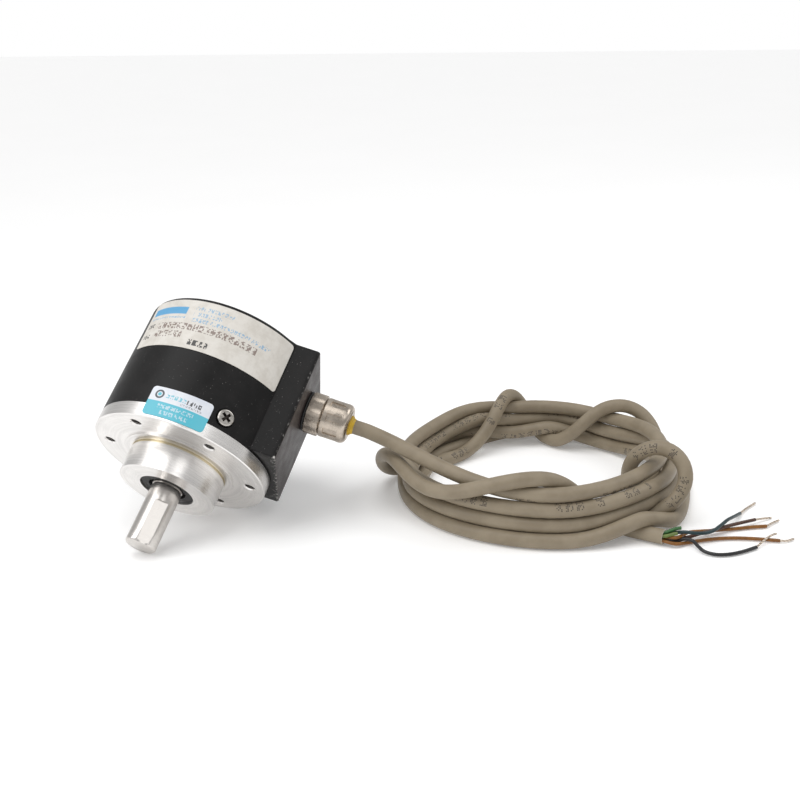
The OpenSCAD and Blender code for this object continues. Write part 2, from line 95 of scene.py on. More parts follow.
# %% Set the camera
CAMERA_AT = (0.222018, -0.284111, 0.139349)
LENS = 53.477
azimuth, elevation, lean = np.radians([26.637, 18.797, -1.852])
back = np.array([np.sin(azimuth) * np.cos(elevation),
                 -np.cos(azimuth) * np.cos(elevation), np.sin(elevation)])
level = np.array([np.cos(azimuth), np.sin(azimuth), 0])
right = np.cos(lean) * level + np.sin(lean) * np.cross(back, level)
camera = bpy.data.objects.new("camera", bpy.data.cameras.new("camera"))
camera.data.lens = LENS
camera.data.clip_start = 0.01
bpy.context.scene.collection.objects.link(camera)
stand = np.eye(4)
stand[:3] = np.column_stack([right, np.cross(back, right), back, CAMERA_AT])
camera.matrix_world = Matrix(stand.tolist())
bpy.context.scene.camera = camera
print("camera at", CAMERA_AT)

# %% [markdown]
# ## From grids to meshes
# Most pieces are a grid of points: rows along one parameter, columns along the other. A
# grid can close on itself in either direction. Where a whole row falls on one point, as at
# the middle of a disc, its doubles are merged, so that poles and seams are closed.


# %% A grid becomes a piece
def piece_from_grid(name, grid, wrap_rows=False, wrap_columns=True, uv=None, marks=None,
                    sharp=35):
    """A mesh object from grid[row, column, xyz], in world metres.

    Quad (r, c) joins points (r, c), (r, c+1), (r+1, c+1) and (r+1, c). uv[row, column, 2]
    holds one more column or row than the grid where that direction closes. marks is a dict
    of per-point numbers, kept as float attributes. Edges over sharp degrees stay crisp.
    """
    rows, columns = grid.shape[:2]
    r = np.arange(rows if wrap_rows else rows - 1)[:, None]
    c = np.arange(columns if wrap_columns else columns - 1)[None, :]
    r2, c2 = (r + 1) % rows, (c + 1) % columns
    quads = np.stack([r * columns + c, r * columns + c2, r2 * columns + c2, r2 * columns + c],
                     axis=-1).reshape(-1, 4)
    mesh = bpy.data.meshes.new(name)
    mesh.from_pydata(grid.reshape(-1, 3).tolist(), [], quads.tolist())
    if uv is not None:
        corner = np.stack([uv[r, c], uv[r, c + 1], uv[r + 1, c + 1], uv[r + 1, c]], axis=2)
        layer = mesh.uv_layers.new(name="along")
        layer.data.foreach_set("uv", corner.reshape(-1, 2).astype(np.float32).ravel())
    for label, values in (marks or {}).items():
        layer = mesh.attributes.new(label, "FLOAT", "POINT")
        layer.data.foreach_set("value", np.asarray(values, np.float32).ravel())
    return finish_piece(name, mesh, sharp)


def finish_piece(name, mesh, sharp):
    """Merges doubles, turns faces outwards, smooths all but the sharp edges, links it."""
    shape = bmesh.new()
    shape.from_mesh(mesh)
    bmesh.ops.remove_doubles(shape, verts=shape.verts, dist=1e-7)
    bmesh.ops.dissolve_degenerate(shape, edges=shape.edges, dist=1e-8)
    bmesh.ops.recalc_face_normals(shape, faces=shape.faces)
    shape.to_mesh(mesh)
    shape.free()
    mesh.polygons.foreach_set("use_smooth", np.ones(len(mesh.polygons), bool))
    mesh.set_sharp_from_angle(angle=np.radians(sharp))
    piece = bpy.data.objects.new(name, mesh)
    bpy.context.scene.collection.objects.link(piece)
    print(name, len(mesh.polygons), "faces")
    return piece


def dress(piece, slot, body, *nodes, material=None):
    """The piece rides on its body and stands for its CAD nodes; slot is not used."""
    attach(piece, body)
    if nodes:
        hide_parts(*nodes)
    if material:
        piece.data.materials.append(material)
    return piece


# %% [markdown]
# ## The cable's route
# The cable leaves the gland, comes down to the table and makes four turns. It then goes
# round once more and winds over and under its own bundle on the way, which is how a spare
# length is tied up with itself. Its cut end slips out at the right. The route starts as
# points that a hand could lay: an angle round the coil, a distance from its middle and a
# height over the table.

# %% Points of the route
CABLE_D = 4.8
COIL_AT = np.array([94.0, 74.0])
TABLE_MM = TABLE / MM
GLAND_BACK = 31.9
GLAND_IN, GLAND_MIDDLE, GLAND_END = 25, 36.45, 47.9
inside_gland = placed([[x, 0, -GLAND_BACK] for x in (GLAND_IN, GLAND_MIDDLE, GLAND_END)]) / MM
LEAD = np.array([[49.7, 37.4, 4.4], [55.2, 37.9, 2.9], [62.3, 36.9, 1.3], [69.7, 35.2, -0.6],
                 [77.2, 33.6, -2.4], [83.5, 33, -3.7]])
FIRST_TURN = [(-97, 41, 17.8), (-86, 41.8, 16.9), (-77, 43.2, 16.7), (-69, 44.7, 16.6),
              (-53, 44.3, 16.6), (-30, 41.8, 16.6), (-7, 41.4, 16.4)]
TURNS = [
    (30, 42.5, 15.2), (70, 44.5, 13.4), (110, 45, 12.6), (155, 45.5, 12.4), (200, 45, 12.2),
    (245, 45, 11.9), (291, 45.5, 11.8), (325, 46, 11.7), (355, 45, 11.5), (390, 44, 10.5),
    (430, 44, 8.4), (470, 44.2, 7.8), (515, 45.5, 7.5), (560, 44.8, 7.3), (605, 45.4, 7),
    (651, 46.3, 6.9), (685, 47.5, 6.9), (715, 46.5, 6.8), (750, 44.5, 6), (790, 43.6, 4),
    (830, 43.3, 2.8), (875, 45.5, 2.6), (920, 45, 2.6), (965, 46, 2.4), (1011, 47.5, 2.4),
    (1045, 48.5, 2.6), (1075, 49, 3), (1110, 49.5, 2.4), (1150, 49.5, 2.4), (1190, 48.5, 2.4),
    (1235, 43.5, 2.4), (1280, 41, 2.4), (1325, 41, 2.4), (1371, 40.5, 2.4)]
RIGHT_LOOP = [
    (1398, 39.5, 2.4), (1408, 42, 2.4), (1416.3, 47.2, 2.4), (1422, 50.5, 3.6),
    (1427, 53, 6.2), (1428.5, 54.3, 10.5), (1430, 54.2, 14.7), (1431, 52.4, 18.5),
    (1432.5, 49.5, 21), (1434, 45.5, 22.8), (1433, 41, 23.8), (1431, 37.6, 23.0),
    (1427, 36.0, 20.5), (1425, 35.6, 16.5), (1428, 35, 12), (1434, 35, 7.5), (1443, 35.5, 4),
    (1455, 37.5, 2.4), (1470, 42, 2.4), (1482, 47, 2.4)]
BACK_LOOPS = [
    (1490, 50.3, 4.5), (1495, 51.3, 9.7), (1498.3, 52, 13.4), (1501.8, 51, 17),
    (1508.7, 48.5, 18.6), (1514, 45.5, 17.8), (1519.2, 43, 14.8), (1524.3, 41, 10.4),
    (1529, 39.5, 6.4), (1534, 38.7, 3.2), (1540, 39.5, 2.4), (1546, 43.5, 2.4),
    (1551.5, 48, 3.2), (1555, 50.5, 8), (1556.4, 50.3, 13), (1558.4, 49.5, 16.7),
    (1561.6, 48, 18.3), (1566.2, 45, 17.2), (1570.2, 41.8, 13.8), (1574.7, 39.5, 9.5),
    (1579.6, 38.5, 5.6), (1588, 38, 2.6), (1600, 38.6, 2.4), (1614, 41.3, 2.4),
    (1628, 45, 2.4)]
LEFT_LOOP = [
    (1635.5, 48.5, 2.8), (1637.5, 51.5, 5.5), (1641, 52.6, 9.5), (1647, 52.2, 14),
    (1655, 51.4, 18), (1664, 50.2, 20.3), (1670, 49.8, 19.6), (1672.5, 49.6, 17.3),
    (1675, 49.6, 14.8), (1679, 49.4, 13), (1684, 49.2, 12.8), (1690, 48.7, 13.8),
    (1696.5, 48.2, 15.6), (1702.8, 47.2, 17.7), (1707.8, 46.3, 19.1), (1714.3, 45.5, 20.1),
    (1724, 45, 21), (1732.9, 44.3, 20.9), (1741.5, 42, 18.4), (1747, 39.6, 14.8),
    (1752, 37.6, 9.5), (1757, 37, 4.5), (1761, 39, 2.6), (1764.5, 44, 2.4)]
TAIL = np.array([[137, 47.4, -20], [145, 46.5, -20]])


def round_coil(knots):
    """(angle in degrees, distance from the coil's middle, height) as x, y, z in mm."""
    angle, reach, height = np.array(knots, float).T
    angle = np.radians(angle)
    return np.column_stack([COIL_AT[0] + reach * np.cos(angle),
                            COIL_AT[1] + reach * np.sin(angle), TABLE_MM + height])


coiled = round_coil(FIRST_TURN + TURNS + RIGHT_LOOP + BACK_LOOPS + LEFT_LOOP)
laid = np.vstack([LEAD, coiled, TAIL])
print("route laid with", len(laid), "points")

# %% [markdown]
# ## A smooth line through points
# A Catmull-Rom spline passes through every point. Between points b and c it is a cubic
# whose slopes at the ends are half of c - a and half of d - b. Afterwards the line is cut
# at even steps, because a swept tube needs even rings.


# %% Spline with even steps
CUTS = 24


def smooth_line(points, step):
    """A Catmull-Rom line through the points, cut at equal steps near the given one."""
    p = np.asarray(points, float)
    ends = np.vstack([2 * p[0] - p[1], p, 2 * p[-1] - p[-2]])
    a, b, c, d = (ends[k:len(ends) - 3 + k, None, :] for k in range(4))
    t = np.linspace(0, 1, CUTS, endpoint=False)[None, :, None]
    line = 0.5 * (2 * b + (c - a) * t + (2 * a - 5 * b + 4 * c - d) * t**2
                  + (3 * b - a - 3 * c + d) * t**3)
    line = np.vstack([line.reshape(-1, 3), p[-1:]])
    run = np.r_[0, np.cumsum(np.linalg.norm(np.diff(line, axis=0), axis=1))]
    even = np.linspace(0, run[-1], int(round(run[-1] / step)) + 1)
    return np.column_stack([np.interp(even, run, line[:, k]) for k in range(3)])


# %% [markdown]
# ## Letting the cable settle
# A cable can't pass through itself. Rounds of small moves sort that out: points of
# different strands that are nearer than a diameter push each other apart, the line is
# bent as little as it can be, its steps keep their length and nothing sinks into the
# table. A light pull keeps the strands where they were laid, until the last rounds.


# %% Relax the route
ROUNDS, LAST_ROUNDS = 400, 0.85
PULL, WEIGHT = 0.01, 0.004
PUSH, STRETCH = 0.25, 0.25
BENDING, STIFFNESS = 0.5, 0.12
SPACING, NEIGHBOURS = 1.01, 2.2


def settle(line):
    """Moves the points of a line until most strands lie a diameter apart, on the table.

    Each round adds to a point: PUSH of what it lacks to SPACING diameters from another
    strand, summed and divided by the root of how many push it; BENDING and STIFFNESS of
    its way to a cubic through the points 1 and 2, and 3 and 6, to each side; PULL of its
    way back to where it was laid; and a drop by WEIGHT. Twice, the two ends of a step then
    move by STRETCH of its error in length. Points within NEIGHBOURS diameters along the
    line aren't another strand.
    """
    goal, line = line.copy(), line.copy()
    step = np.linalg.norm(np.diff(line, axis=0), axis=1).mean()
    i, j = np.triu_indices(len(line), int(np.ceil(NEIGHBOURS * CABLE_D / step)))
    held = np.r_[0:3, len(line) - 5:len(line)]
    wide = CABLE_D * SPACING
    for turn_no in range(ROUNDS):
        apart = line[i] - line[j]
        far = np.linalg.norm(apart, axis=1)
        near = far < wide
        ii, jj = i[near], j[near]
        push = apart[near] / far[near, None] * ((wide - far[near]) * PUSH)[:, None]
        move = np.zeros_like(line)
        count = np.zeros(len(line))
        np.add.at(move, ii, push)
        np.add.at(move, jj, -push)
        np.add.at(count, ii, 1)
        np.add.at(count, jj, 1)
        straight = np.zeros_like(line)
        straight[2:-2] = (4 * (line[1:-3] + line[3:-1]) - line[:-4] - line[4:]) / 6 - line[2:-2]
        stiff = np.zeros_like(line)
        stiff[6:-6] = (4 * (line[3:-9] + line[9:-3]) - line[:-12] - line[12:]) / 6 - line[6:-6]
        line = (line + move / np.maximum(count, 1)[:, None]**0.5 + BENDING * straight
                + STIFFNESS * stiff)
        if turn_no < ROUNDS * LAST_ROUNDS:
            line += PULL * (goal - line)
        line[:, 2] -= WEIGHT
        for _ in range(2):
            edge = np.diff(line, axis=0)
            long = np.linalg.norm(edge, axis=1)
            fix = edge * ((long - step) / long * STRETCH)[:, None]
            line[:-1] += fix
            line[1:] -= fix
        line[:, 2] = np.maximum(line[:, 2], TABLE_MM + CABLE_D / 2)
        line[held] = goal[held]
    far = np.linalg.norm(line[i] - line[j], axis=1)
    print("nearest strands", round(float(far.min()), 2), "mm; pairs under 0.9 d:",
          int((far < 0.9 * CABLE_D).sum()))
    return line


SETTLE_STEP, RING_STEP = 2.0, 1.5
settled = settle(smooth_line(np.vstack([inside_gland[2:], laid]), SETTLE_STEP))
route = smooth_line(np.vstack([inside_gland[:2], settled]), RING_STEP)

# %% [markdown]
# ## A tube along a line
# Each ring of the tube stands square to the line. The rings must not twist, or the
# printed marks would wind round, so each ring's side direction is the last one with the
# part along the line taken off. Only this small carry needs a loop over rings.


# %% Sweep a section along a line
def ring_sides(line):
    """Two unit directions square to the line at each point, carried without twist."""
    heading = np.gradient(line, axis=0)
    heading /= np.linalg.norm(heading, axis=1)[:, None]
    side = np.array([0, 0, 1], float)
    sides = []
    for h in heading:
        side = side - h * (side @ h)
        side /= np.linalg.norm(side)
        sides.append(side)
    sides = np.array(sides)
    return sides, np.cross(heading, sides), heading


def swept(line, radius, around, twist=0.0):
    """grid[ring, column] = centre + radius * (cos a * side + sin a * other side).

    radius is a number or one number per column; a goes once round, and twist turns it by
    that many radians per ring.
    """
    side, other, heading = ring_sides(line)
    a = np.linspace(0, 2 * np.pi, around, endpoint=False)[None, :]
    a = a + twist * np.arange(len(line))[:, None]
    radius = np.broadcast_to(radius, (len(line), around))
    grid = line[:, None, :] + radius[..., None] * (np.cos(a)[..., None] * side[:, None]
                                                   + np.sin(a)[..., None] * other[:, None])
    return grid, heading


def along_and_round(line, around):
    """UV of a tube: u in millimetres along the line, v once round."""
    run = np.r_[0, np.cumsum(np.linalg.norm(np.diff(line, axis=0), axis=1))]
    v = np.linspace(0, 1, around + 1)
    return np.stack(np.broadcast_arrays(run[:, None], v[None, :]), axis=-1)


# %% [markdown]
# ## The cable
# The jacket is one tube. At its cut end the wall shows as a pale rim, so the tube turns
# in over the rim, runs back a little and closes. The hollow within is painted dark as shade.

# %% Make the cable
AROUND = 24
OUTER_SHARE, INNER_SHARE, INNER_EDGE = 0.985, 0.74, 0.02
RIM_OUT, HOLLOW_DEEP = 0.05, 1.6
RIM_MARK, HOLLOW_MARK = 0.5, 1.0
tube_grid, heading = swept(route, CABLE_D / 2, AROUND)
end_out = heading[-1]
centre = route[-1]
rim = tube_grid[-1] - centre
back_in = centre - end_out * HOLLOW_DEEP
cut_rows = np.stack([
    centre + rim * OUTER_SHARE + end_out * RIM_OUT,
    centre + rim * (INNER_SHARE + INNER_EDGE) + end_out * RIM_OUT,
    centre + rim * INNER_SHARE - end_out * RIM_OUT,
    back_in + rim * INNER_SHARE,
    np.broadcast_to(back_in, rim.shape)])
head_rows = np.broadcast_to(route[0], (1, AROUND, 3))
cable_grid = np.concatenate([head_rows, tube_grid, cut_rows])
cable_uv = along_and_round(route, AROUND)
end_uv = np.repeat(cable_uv[-1:], len(cut_rows), axis=0)
cable_uv = np.concatenate([cable_uv[:1], cable_uv, end_uv])
cut_mark = np.zeros(cable_grid.shape[:2])
cut_mark[-len(cut_rows):] = RIM_MARK
# The hollow's rows carry the mark where its shade is painted.
cut_mark[-2:] = HOLLOW_MARK
cable = piece_from_grid("cable", cable_grid * MM, uv=cable_uv, marks={"cut": cut_mark})

# %% [markdown]
# ## The cores
# Seven insulated wires come out of the cut. Two green ones are cut off short, the others
# spread over the table and end in stripped, tinned strands. Each is a thin tube on the
# points that the CAD solids follow.

# %% Routes of the cores
CORE_D = 1.1
TIP_D = 0.7
CORES = {
    "green_wire_a": [[143, 46.8, -18.7], [145, 46.6, -18.7], [146.5, 47.5, -18.2],
                     [148, 48.4, -17.6], [149.5, 49.3, -17.4]],
    "green_wire_b": [[143, 45.6, -19.3], [145, 45.4, -19.3], [146.3, 45.9, -19.1],
                     [147.7, 46.7, -18.7], [149, 47.2, -18.4]],
    "brown_wire": [[143, 47.9, -20.7], [145, 47.6, -20.7], [148.3, 49.7, -21.4],
                   [151.5, 52, -21.2], [154.7, 55, -20.7], [157.9, 58.6, -20.5],
                   [161.2, 62.7, -20.4], [164.4, 67.3, -20.7], [167.7, 72, -21.1]],
    "orange_wire_a": [[143, 46.7, -20], [145, 46.5, -20], [148.9, 47.2, -19.8],
                      [151, 52.9, -20.2], [154.1, 56.3, -20.7], [157.3, 59.5, -21.3],
                      [160.7, 62.6, -21.7], [164.3, 65.3, -21.8], [167.9, 67.8, -21.8],
                      [171.6, 70, -21.8]],
    "orange_wire_b": [[143, 45.6, -20.8], [145, 45.4, -20.8], [148.9, 45.5, -21.2],
                      [151.8, 49, -21.8], [154.9, 51.8, -21.8], [158.3, 54.4, -21.8],
                      [161.8, 56.5, -21.8], [165.5, 58.1, -21.8], [169.4, 59.3, -21.8],
                      [173.3, 60.2, -21.8], [177.2, 60.9, -21.8]],
    "teal_wire": [[143, 47.9, -19.4], [145, 47.7, -19.4], [147.4, 48.8, -19.2],
                  [150.6, 49.1, -18.5], [153.6, 49.6, -18.5], [156.4, 51.3, -18.8],
                  [158.3, 54.5, -19], [159.6, 59, -18.9], [160.6, 64.5, -19.2],
                  [161.5, 70.5, -20.4], [162.2, 76.4, -21.7]],
    "black_wire": [[143, 46.7, -21.3], [145, 46.5, -21.3], [148, 47.4, -21.6],
                   [150.7, 48.4, -20.5], [153.4, 48.2, -20.5], [155.6, 46.3, -21.2],
                   [158, 44.6, -21.7], [161.5, 44.2, -21.8], [165, 45.9, -21.8],
                   [168.3, 49.2, -21.8], [171.5, 53.8, -21.8]]}
TIPS = {
    "brown_tip": [[167.7, 72, -21.1], [169.9, 75.3, -21.7], [171.8, 77.3, -22]],
    "orange_tip_a": [[171.6, 70, -21.8], [173, 73.7, -21.9], [174.3, 76.3, -22]],
    "orange_tip_b": [[177.2, 60.9, -21.8], [179.1, 61.9, -21.9], [180.7, 64.3, -22]],
    "teal_tip": [[162.2, 76.4, -21.7], [163.3, 81.6, -21.9], [165, 87.1, -22]],
    "black_tip": [[171.5, 53.8, -21.8], [173.3, 58.6, -20.9], [174.6, 61.6, -20.7],
                  [175.6, 63.4, -20.8]]}


# %% Make the cores and their tips
WIRE_STEP, WIRE_AROUND, COPPER_SHARE = 0.7, 14, 0.45
TIP_STEP, TIP_AROUND, TIP_TWIST = 0.25, 28, 0.18
STRANDS, STRAND_DEEP = 7, 0.1


def capped(line, radius, around, twist=0.0):
    """A swept tube whose first and last rows fall on the line's ends."""
    grid, _ = swept(line, radius, around, twist)
    ends = [np.broadcast_to(line[k], (1, around, 3)) for k in (0, -1)]
    return np.concatenate([ends[0], grid, ends[1]])


def wire_piece(name, points):
    """A smooth insulated wire; its own mark is 1 on the far cut face, where copper shows."""
    line = smooth_line(points, WIRE_STEP)
    grid = capped(line, CORE_D / 2, WIRE_AROUND)
    cap = grid[-2:-1] * COPPER_SHARE + grid[-1:] * (1 - COPPER_SHARE)
    grid = np.concatenate([grid[:-1], cap, grid[-1:]])
    copper = np.zeros(grid.shape[:2])
    copper[-2:] = 1
    return piece_from_grid(name, grid * MM, marks={"copper": copper})


def tip_piece(name, points):
    """Twisted strands: the radius rises and falls once a strand, and turns with the line."""
    line = smooth_line(points, TIP_STEP)
    a = np.linspace(0, 2 * np.pi, TIP_AROUND, endpoint=False)
    radius = TIP_D / 2 * (1 - STRAND_DEEP + STRAND_DEEP * np.cos(STRANDS * a))
    grid = capped(line, radius, TIP_AROUND, TIP_TWIST)
    return piece_from_grid(name, grid * MM, sharp=60)


wires = {name: wire_piece(name, points) for name, points in CORES.items()}
tips = {name: tip_piece(name, points) for name, points in TIPS.items()}

# %% [markdown]
# ## The cord's pieces
# Each piece of the cord rides on the housing. Its pieces hide the plain CAD solids, which stay for
# collision.

dress(cable, "cable_jacket", "housing", "cable_lead", "cable_coil", "cable_tail")
WIRE_NODES = {"green_wire_a": ("core_green", "green_cores"),
              "green_wire_b": ("core_green", "green_cores"),
              "brown_wire": ("core_brown", "brown_core"),
              "orange_wire_a": ("core_orange", "orange_cores"),
              "orange_wire_b": ("core_orange", "orange_cores"),
              "teal_wire": ("core_teal", "dark_core"), "black_wire": ("core_black", "black_core")}
for name, (slot, node) in WIRE_NODES.items():
    dress(wires[name], slot, "housing", node)
for tip in tips.values():
    dress(tip, "tinned_copper", "housing", "bare_tips")

# %% [markdown]
# ## A short way to write finishes
# A finish is a Principled shader with a few numbers set and a few driven by patterns. The
# patterns read object coordinates, because every piece's object sits at the origin. One
# Mapping node turns them into the encoder's own frame in millimetres, so that rings run
# round the shaft and lines run along it.

# %% Finish recipes
TO_OWN_FRAME = Matrix(AXES.T.tolist()).to_euler("XYZ")


class Finish:
    """A material under construction; its methods add nodes and hand back their output."""

    def __init__(self, name, colour, rough, metal=0.0, **more):
        self.material = bpy.data.materials.new(name)
        self.material.use_nodes = True
        self.nodes = self.material.node_tree.nodes
        self.links = self.material.node_tree.links
        self.shader = self.nodes["Principled BSDF"]
        self.set("Base Color", (*colour, 1))
        self.set("Roughness", rough)
        self.set("Metallic", metal)
        for socket, value in more.items():
            self.set(socket.replace("_", " "), value)

    def set(self, socket, value):
        """A number is set on the shader's socket, an output is linked to it."""
        target = self.shader.inputs[socket]
        if isinstance(value, bpy.types.NodeSocket):
            self.links.new(value, target)
        else:
            target.default_value = value

    def add(self, kind, inputs=(), out=0, **settings):
        """A node with its settings, its inputs by index or name, and one of its outputs."""
        node = self.nodes.new(kind)
        for key, value in settings.items():
            setattr(node, key, value)
        for key, value in dict(inputs).items():
            if isinstance(value, bpy.types.NodeSocket):
                self.links.new(value, node.inputs[key])
            else:
                node.inputs[key].default_value = value
        return node.outputs[out]

    def tone(self):
        """The output that the base colour takes so far."""
        return self.shader.inputs["Base Color"].links[0].from_socket

    def world_mm(self, **turned_by):
        """Object coordinates in mm, unturned unless the Mapping gets a rotation."""
        point = self.add("ShaderNodeTexCoord", out="Object")
        return self.add("ShaderNodeMapping", {"Vector": point, "Scale": (1 / MM,) * 3, **turned_by})

    def own_mm(self):
        """Object coordinates in the encoder's frame, in mm."""
        return self.world_mm(Rotation=TO_OWN_FRAME)

    def uv(self):
        """The piece's own UV, in the units that its mesh was given."""
        return self.add("ShaderNodeUVMap", uv_map="along")

    def mark(self, label):
        """A number kept on the mesh under that label."""
        return self.add("ShaderNodeAttribute", out="Fac", attribute_name=label)

    def split(self, vector):
        """The three numbers of a vector."""
        node = self.add("ShaderNodeSeparateXYZ", {0: vector}).node
        return node.outputs[0], node.outputs[1], node.outputs[2]

    def join(self, x, y, z=0.0):
        """A vector of three numbers."""
        return self.add("ShaderNodeCombineXYZ", {0: x, 1: y, 2: z})

    def calc(self, operation, a, b=0.0, c=0.0):
        """One step of arithmetic."""
        return self.add("ShaderNodeMath", {0: a, 1: b, 2: c}, operation=operation)

    def length_of(self, x, y):
        """The square root of x * x + y * y."""
        return self.calc("SQRT", self.calc("MULTIPLY_ADD", x, x, self.calc("MULTIPLY", y, y)))

    def noise(self, vector, scale, detail=2.0, rough=0.5, dimensions="3D"):
        """Smooth noise over a vector, or over one number where dimensions is 1D."""
        place = {"Scale": scale, "Detail": detail, "Roughness": rough}
        place["W" if dimensions == "1D" else "Vector"] = vector
        return self.add("ShaderNodeTexNoise", place, noise_dimensions=dimensions)

    def fade(self, value, low, high, to_low=0.0, to_high=1.0):
        """value from low..high, eased, to to_low..to_high."""
        return self.add("ShaderNodeMapRange", {"Value": value, "From Min": low, "From Max": high,
                                               "To Min": to_low, "To Max": to_high},
                        interpolation_type="SMOOTHSTEP")

    def blend(self, share, first, second):
        """A colour between two, each a colour or an output."""
        full = [c if isinstance(c, bpy.types.NodeSocket) else (*c, 1) for c in (first, second)]
        return self.add("ShaderNodeMix", {0: share, 6: full[0], 7: full[1]}, out=2,
                        data_type="RGBA")

    def bump(self, height, distance):
        """A bump of that many metres where height goes from 0 to 1."""
        self.set("Normal", self.add("ShaderNodeBump", {"Height": height, "Distance": distance}))

    def within(self, value, low, high, soft):
        """1 where value lies between low and high, with soft edges."""
        return self.calc("MULTIPLY", self.fade(value, low - soft, low + soft),
                         self.fade(value, high - soft, high + soft, 1.0, 0.0))


print("finishes read the encoder's frame")

# %% [markdown]
# ## Metal finishes
# Turned aluminium shows fine rings round the shaft, because a lathe cut them. A pattern
# that depends only on the distance from the axis and on the height along it gives both the
# rings of a face and those of a rim. Broad soft streaks make it look real, because no tool
# cuts evenly. The groove at the foot of the pilot is tinted yellowish-brown.


# %% Turned and ground metals
HEIGHT_SHARE = 1.37


def turned(name, colour, rough, rings=1.0, streak=0.12):
    """Metal with lathe rings: noise over distance from the axis + HEIGHT_SHARE * height."""
    f = Finish(name, colour, rough, 1.0)
    point = f.own_mm()
    x, y, z = f.split(point)
    reach = f.length_of(x, y)
    profile = f.calc("MULTIPLY_ADD", z, HEIGHT_SHARE, reach)
    fine = f.noise(profile, 9.0, 3.0, 0.7, "1D")
    broad = f.noise(profile, 0.8, 1.0, 0.5, "1D")
    cloud = f.noise(point, 0.09, 2.0)
    tone = f.calc("MULTIPLY_ADD", broad, 0.5, f.calc("MULTIPLY", cloud, 0.5))
    dark = tuple(c * (1 - streak) for c in colour)
    f.set("Base Color", f.blend(f.fade(tone, 0.35, 0.65), dark, colour))
    f.set("Roughness", f.fade(fine, 0.3, 0.7, rough * 0.85, rough * 1.2))
    f.bump(fine, 0.000006 * rings)
    return f, reach, z


GROOVE_R, GROOVE_Z, GROOVE_SOFT, GROOVE_TINT = (15.0, 16.2), (0.55, 1.45), 0.1, (0.68, 0.61, 0.46)
flange_finish, reach, height = turned("turned aluminium", (0.86, 0.84, 0.82), 0.3)
foot = flange_finish.calc("MULTIPLY", flange_finish.within(reach, *GROOVE_R, GROOVE_SOFT),
                          flange_finish.within(height, *GROOVE_Z, GROOVE_SOFT))
flange_finish.set("Base Color", flange_finish.blend(foot, flange_finish.tone(), GROOVE_TINT))
turned_aluminium = flange_finish.material
shaft_steel = turned("ground shaft steel", (0.66, 0.63, 0.6), 0.27, 0.15, 0.04)[0].material
bearing_steel = turned("polished bearing steel", (0.62, 0.62, 0.63), 0.16, 0.4)[0].material
shield_steel = turned("pressed shield steel", (0.3, 0.3, 0.31), 0.38)[0].material
spring_steel = turned("dark spring steel", (0.16, 0.16, 0.17), 0.4)[0].material
brass = turned("turned brass", (0.66, 0.46, 0.17), 0.3)[0].material
print("lathe finishes ready")


# %% Plated and cast metals
def plated(name, colour, rough, spots=0.35):
    """Plate with a cloudy tone, small dull spots and a faint orange-peel bump."""
    f = Finish(name, colour, rough, 1.0)
    point = f.world_mm()
    cloud = f.noise(point, 0.35, 3.0, 0.6)
    dull = f.fade(f.noise(point, 1.7, 4.0, 0.7), 0.55, 0.75)
    tone = f.blend(f.fade(cloud, 0.35, 0.7), tuple(c * 0.72 for c in colour), colour)
    f.set("Base Color", f.blend(f.calc("MULTIPLY", dull, spots), tone,
                                tuple(c * 0.5 for c in colour)))
    f.set("Roughness", f.fade(cloud, 0.3, 0.7, rough * 0.8, rough * 1.35))
    f.bump(f.noise(point, 2.5, 2.0), 0.00001)
    return f


nickel = plated("warm nickel plate", (0.64, 0.56, 0.475), 0.27).material
tinned_copper = plated("tinned copper", (0.66, 0.56, 0.46), 0.3).material
# Painted shade: the screws' cross recesses take this near-black colour.
RECESS_SHADE_TONE = (0.05, 0.042, 0.038)
screw_finish = plated("zinc plated steel", (0.62, 0.59, 0.55), 0.25)
# The recess mark paints that shade into the cross recess of each screw head.
screw_finish.set("Base Color", screw_finish.blend(screw_finish.mark("recess"),
                                                  screw_finish.tone(), RECESS_SHADE_TONE))
screw_steel = screw_finish.material
print("plated finishes ready")

# %% [markdown]
# ## Plastics, rubber and the board
# Small hidden pieces get the same care in fewer lines: a base tone, a second tone in a
# slow cloud, a roughness that varies with it, and a fine grain as bump.


# %% Moulded finishes
def moulded(name, colour, rough, grain=1.0, shift=0.82, scale=0.25, **more):
    """A moulded surface: tone and roughness follow a slow cloud, a fine grain is bump."""
    f = Finish(name, colour, rough, **more)
    point = f.world_mm()
    cloud = f.noise(point, scale, 3.0, 0.6)
    f.set("Base Color", f.blend(f.fade(cloud, 0.3, 0.7), tuple(c * shift for c in colour), colour))
    f.set("Roughness", f.fade(cloud, 0.3, 0.7, rough * 0.88, rough * 1.12))
    f.bump(f.noise(point, 6.0, 2.0), 0.000015 * grain)
    return f


rubber = moulded("black rubber", (0.018, 0.018, 0.018), 0.62, 1.6).material
black_plastic = moulded("black moulding", (0.03, 0.03, 0.032), 0.5).material
ivory_plastic = moulded("ivory moulding", (0.74, 0.7, 0.6), 0.35).material
solder_mask = moulded("green solder mask", (0.02, 0.15, 0.06), 0.3).material
can_sleeve = moulded("capacitor sleeve", (0.1, 0.1, 0.12), 0.4).material
red_wire = moulded("red insulation", (0.45, 0.04, 0.03), 0.35).material
yellow_seal = moulded("yellow seal rubber", (0.66, 0.42, 0.025), 0.45, 0.6, 0.75, 0.5).material
disc_glass = moulded("disc glass", (0.8, 0.9, 0.88), 0.05, 0.1,
                     Transmission_Weight=0.9, IOR=1.5).material


COPPER = (0.6, 0.32, 0.17)


def insulation(name, colour):
    """Core insulation: a moulded tone, with copper where the piece's own mark says cut."""
    f = moulded(name, colour, 0.38, 0.5, 0.7, 0.6)
    cut = f.mark("copper")
    f.set("Base Color", f.blend(cut, f.tone(), COPPER))
    f.set("Metallic", cut)
    return f.material


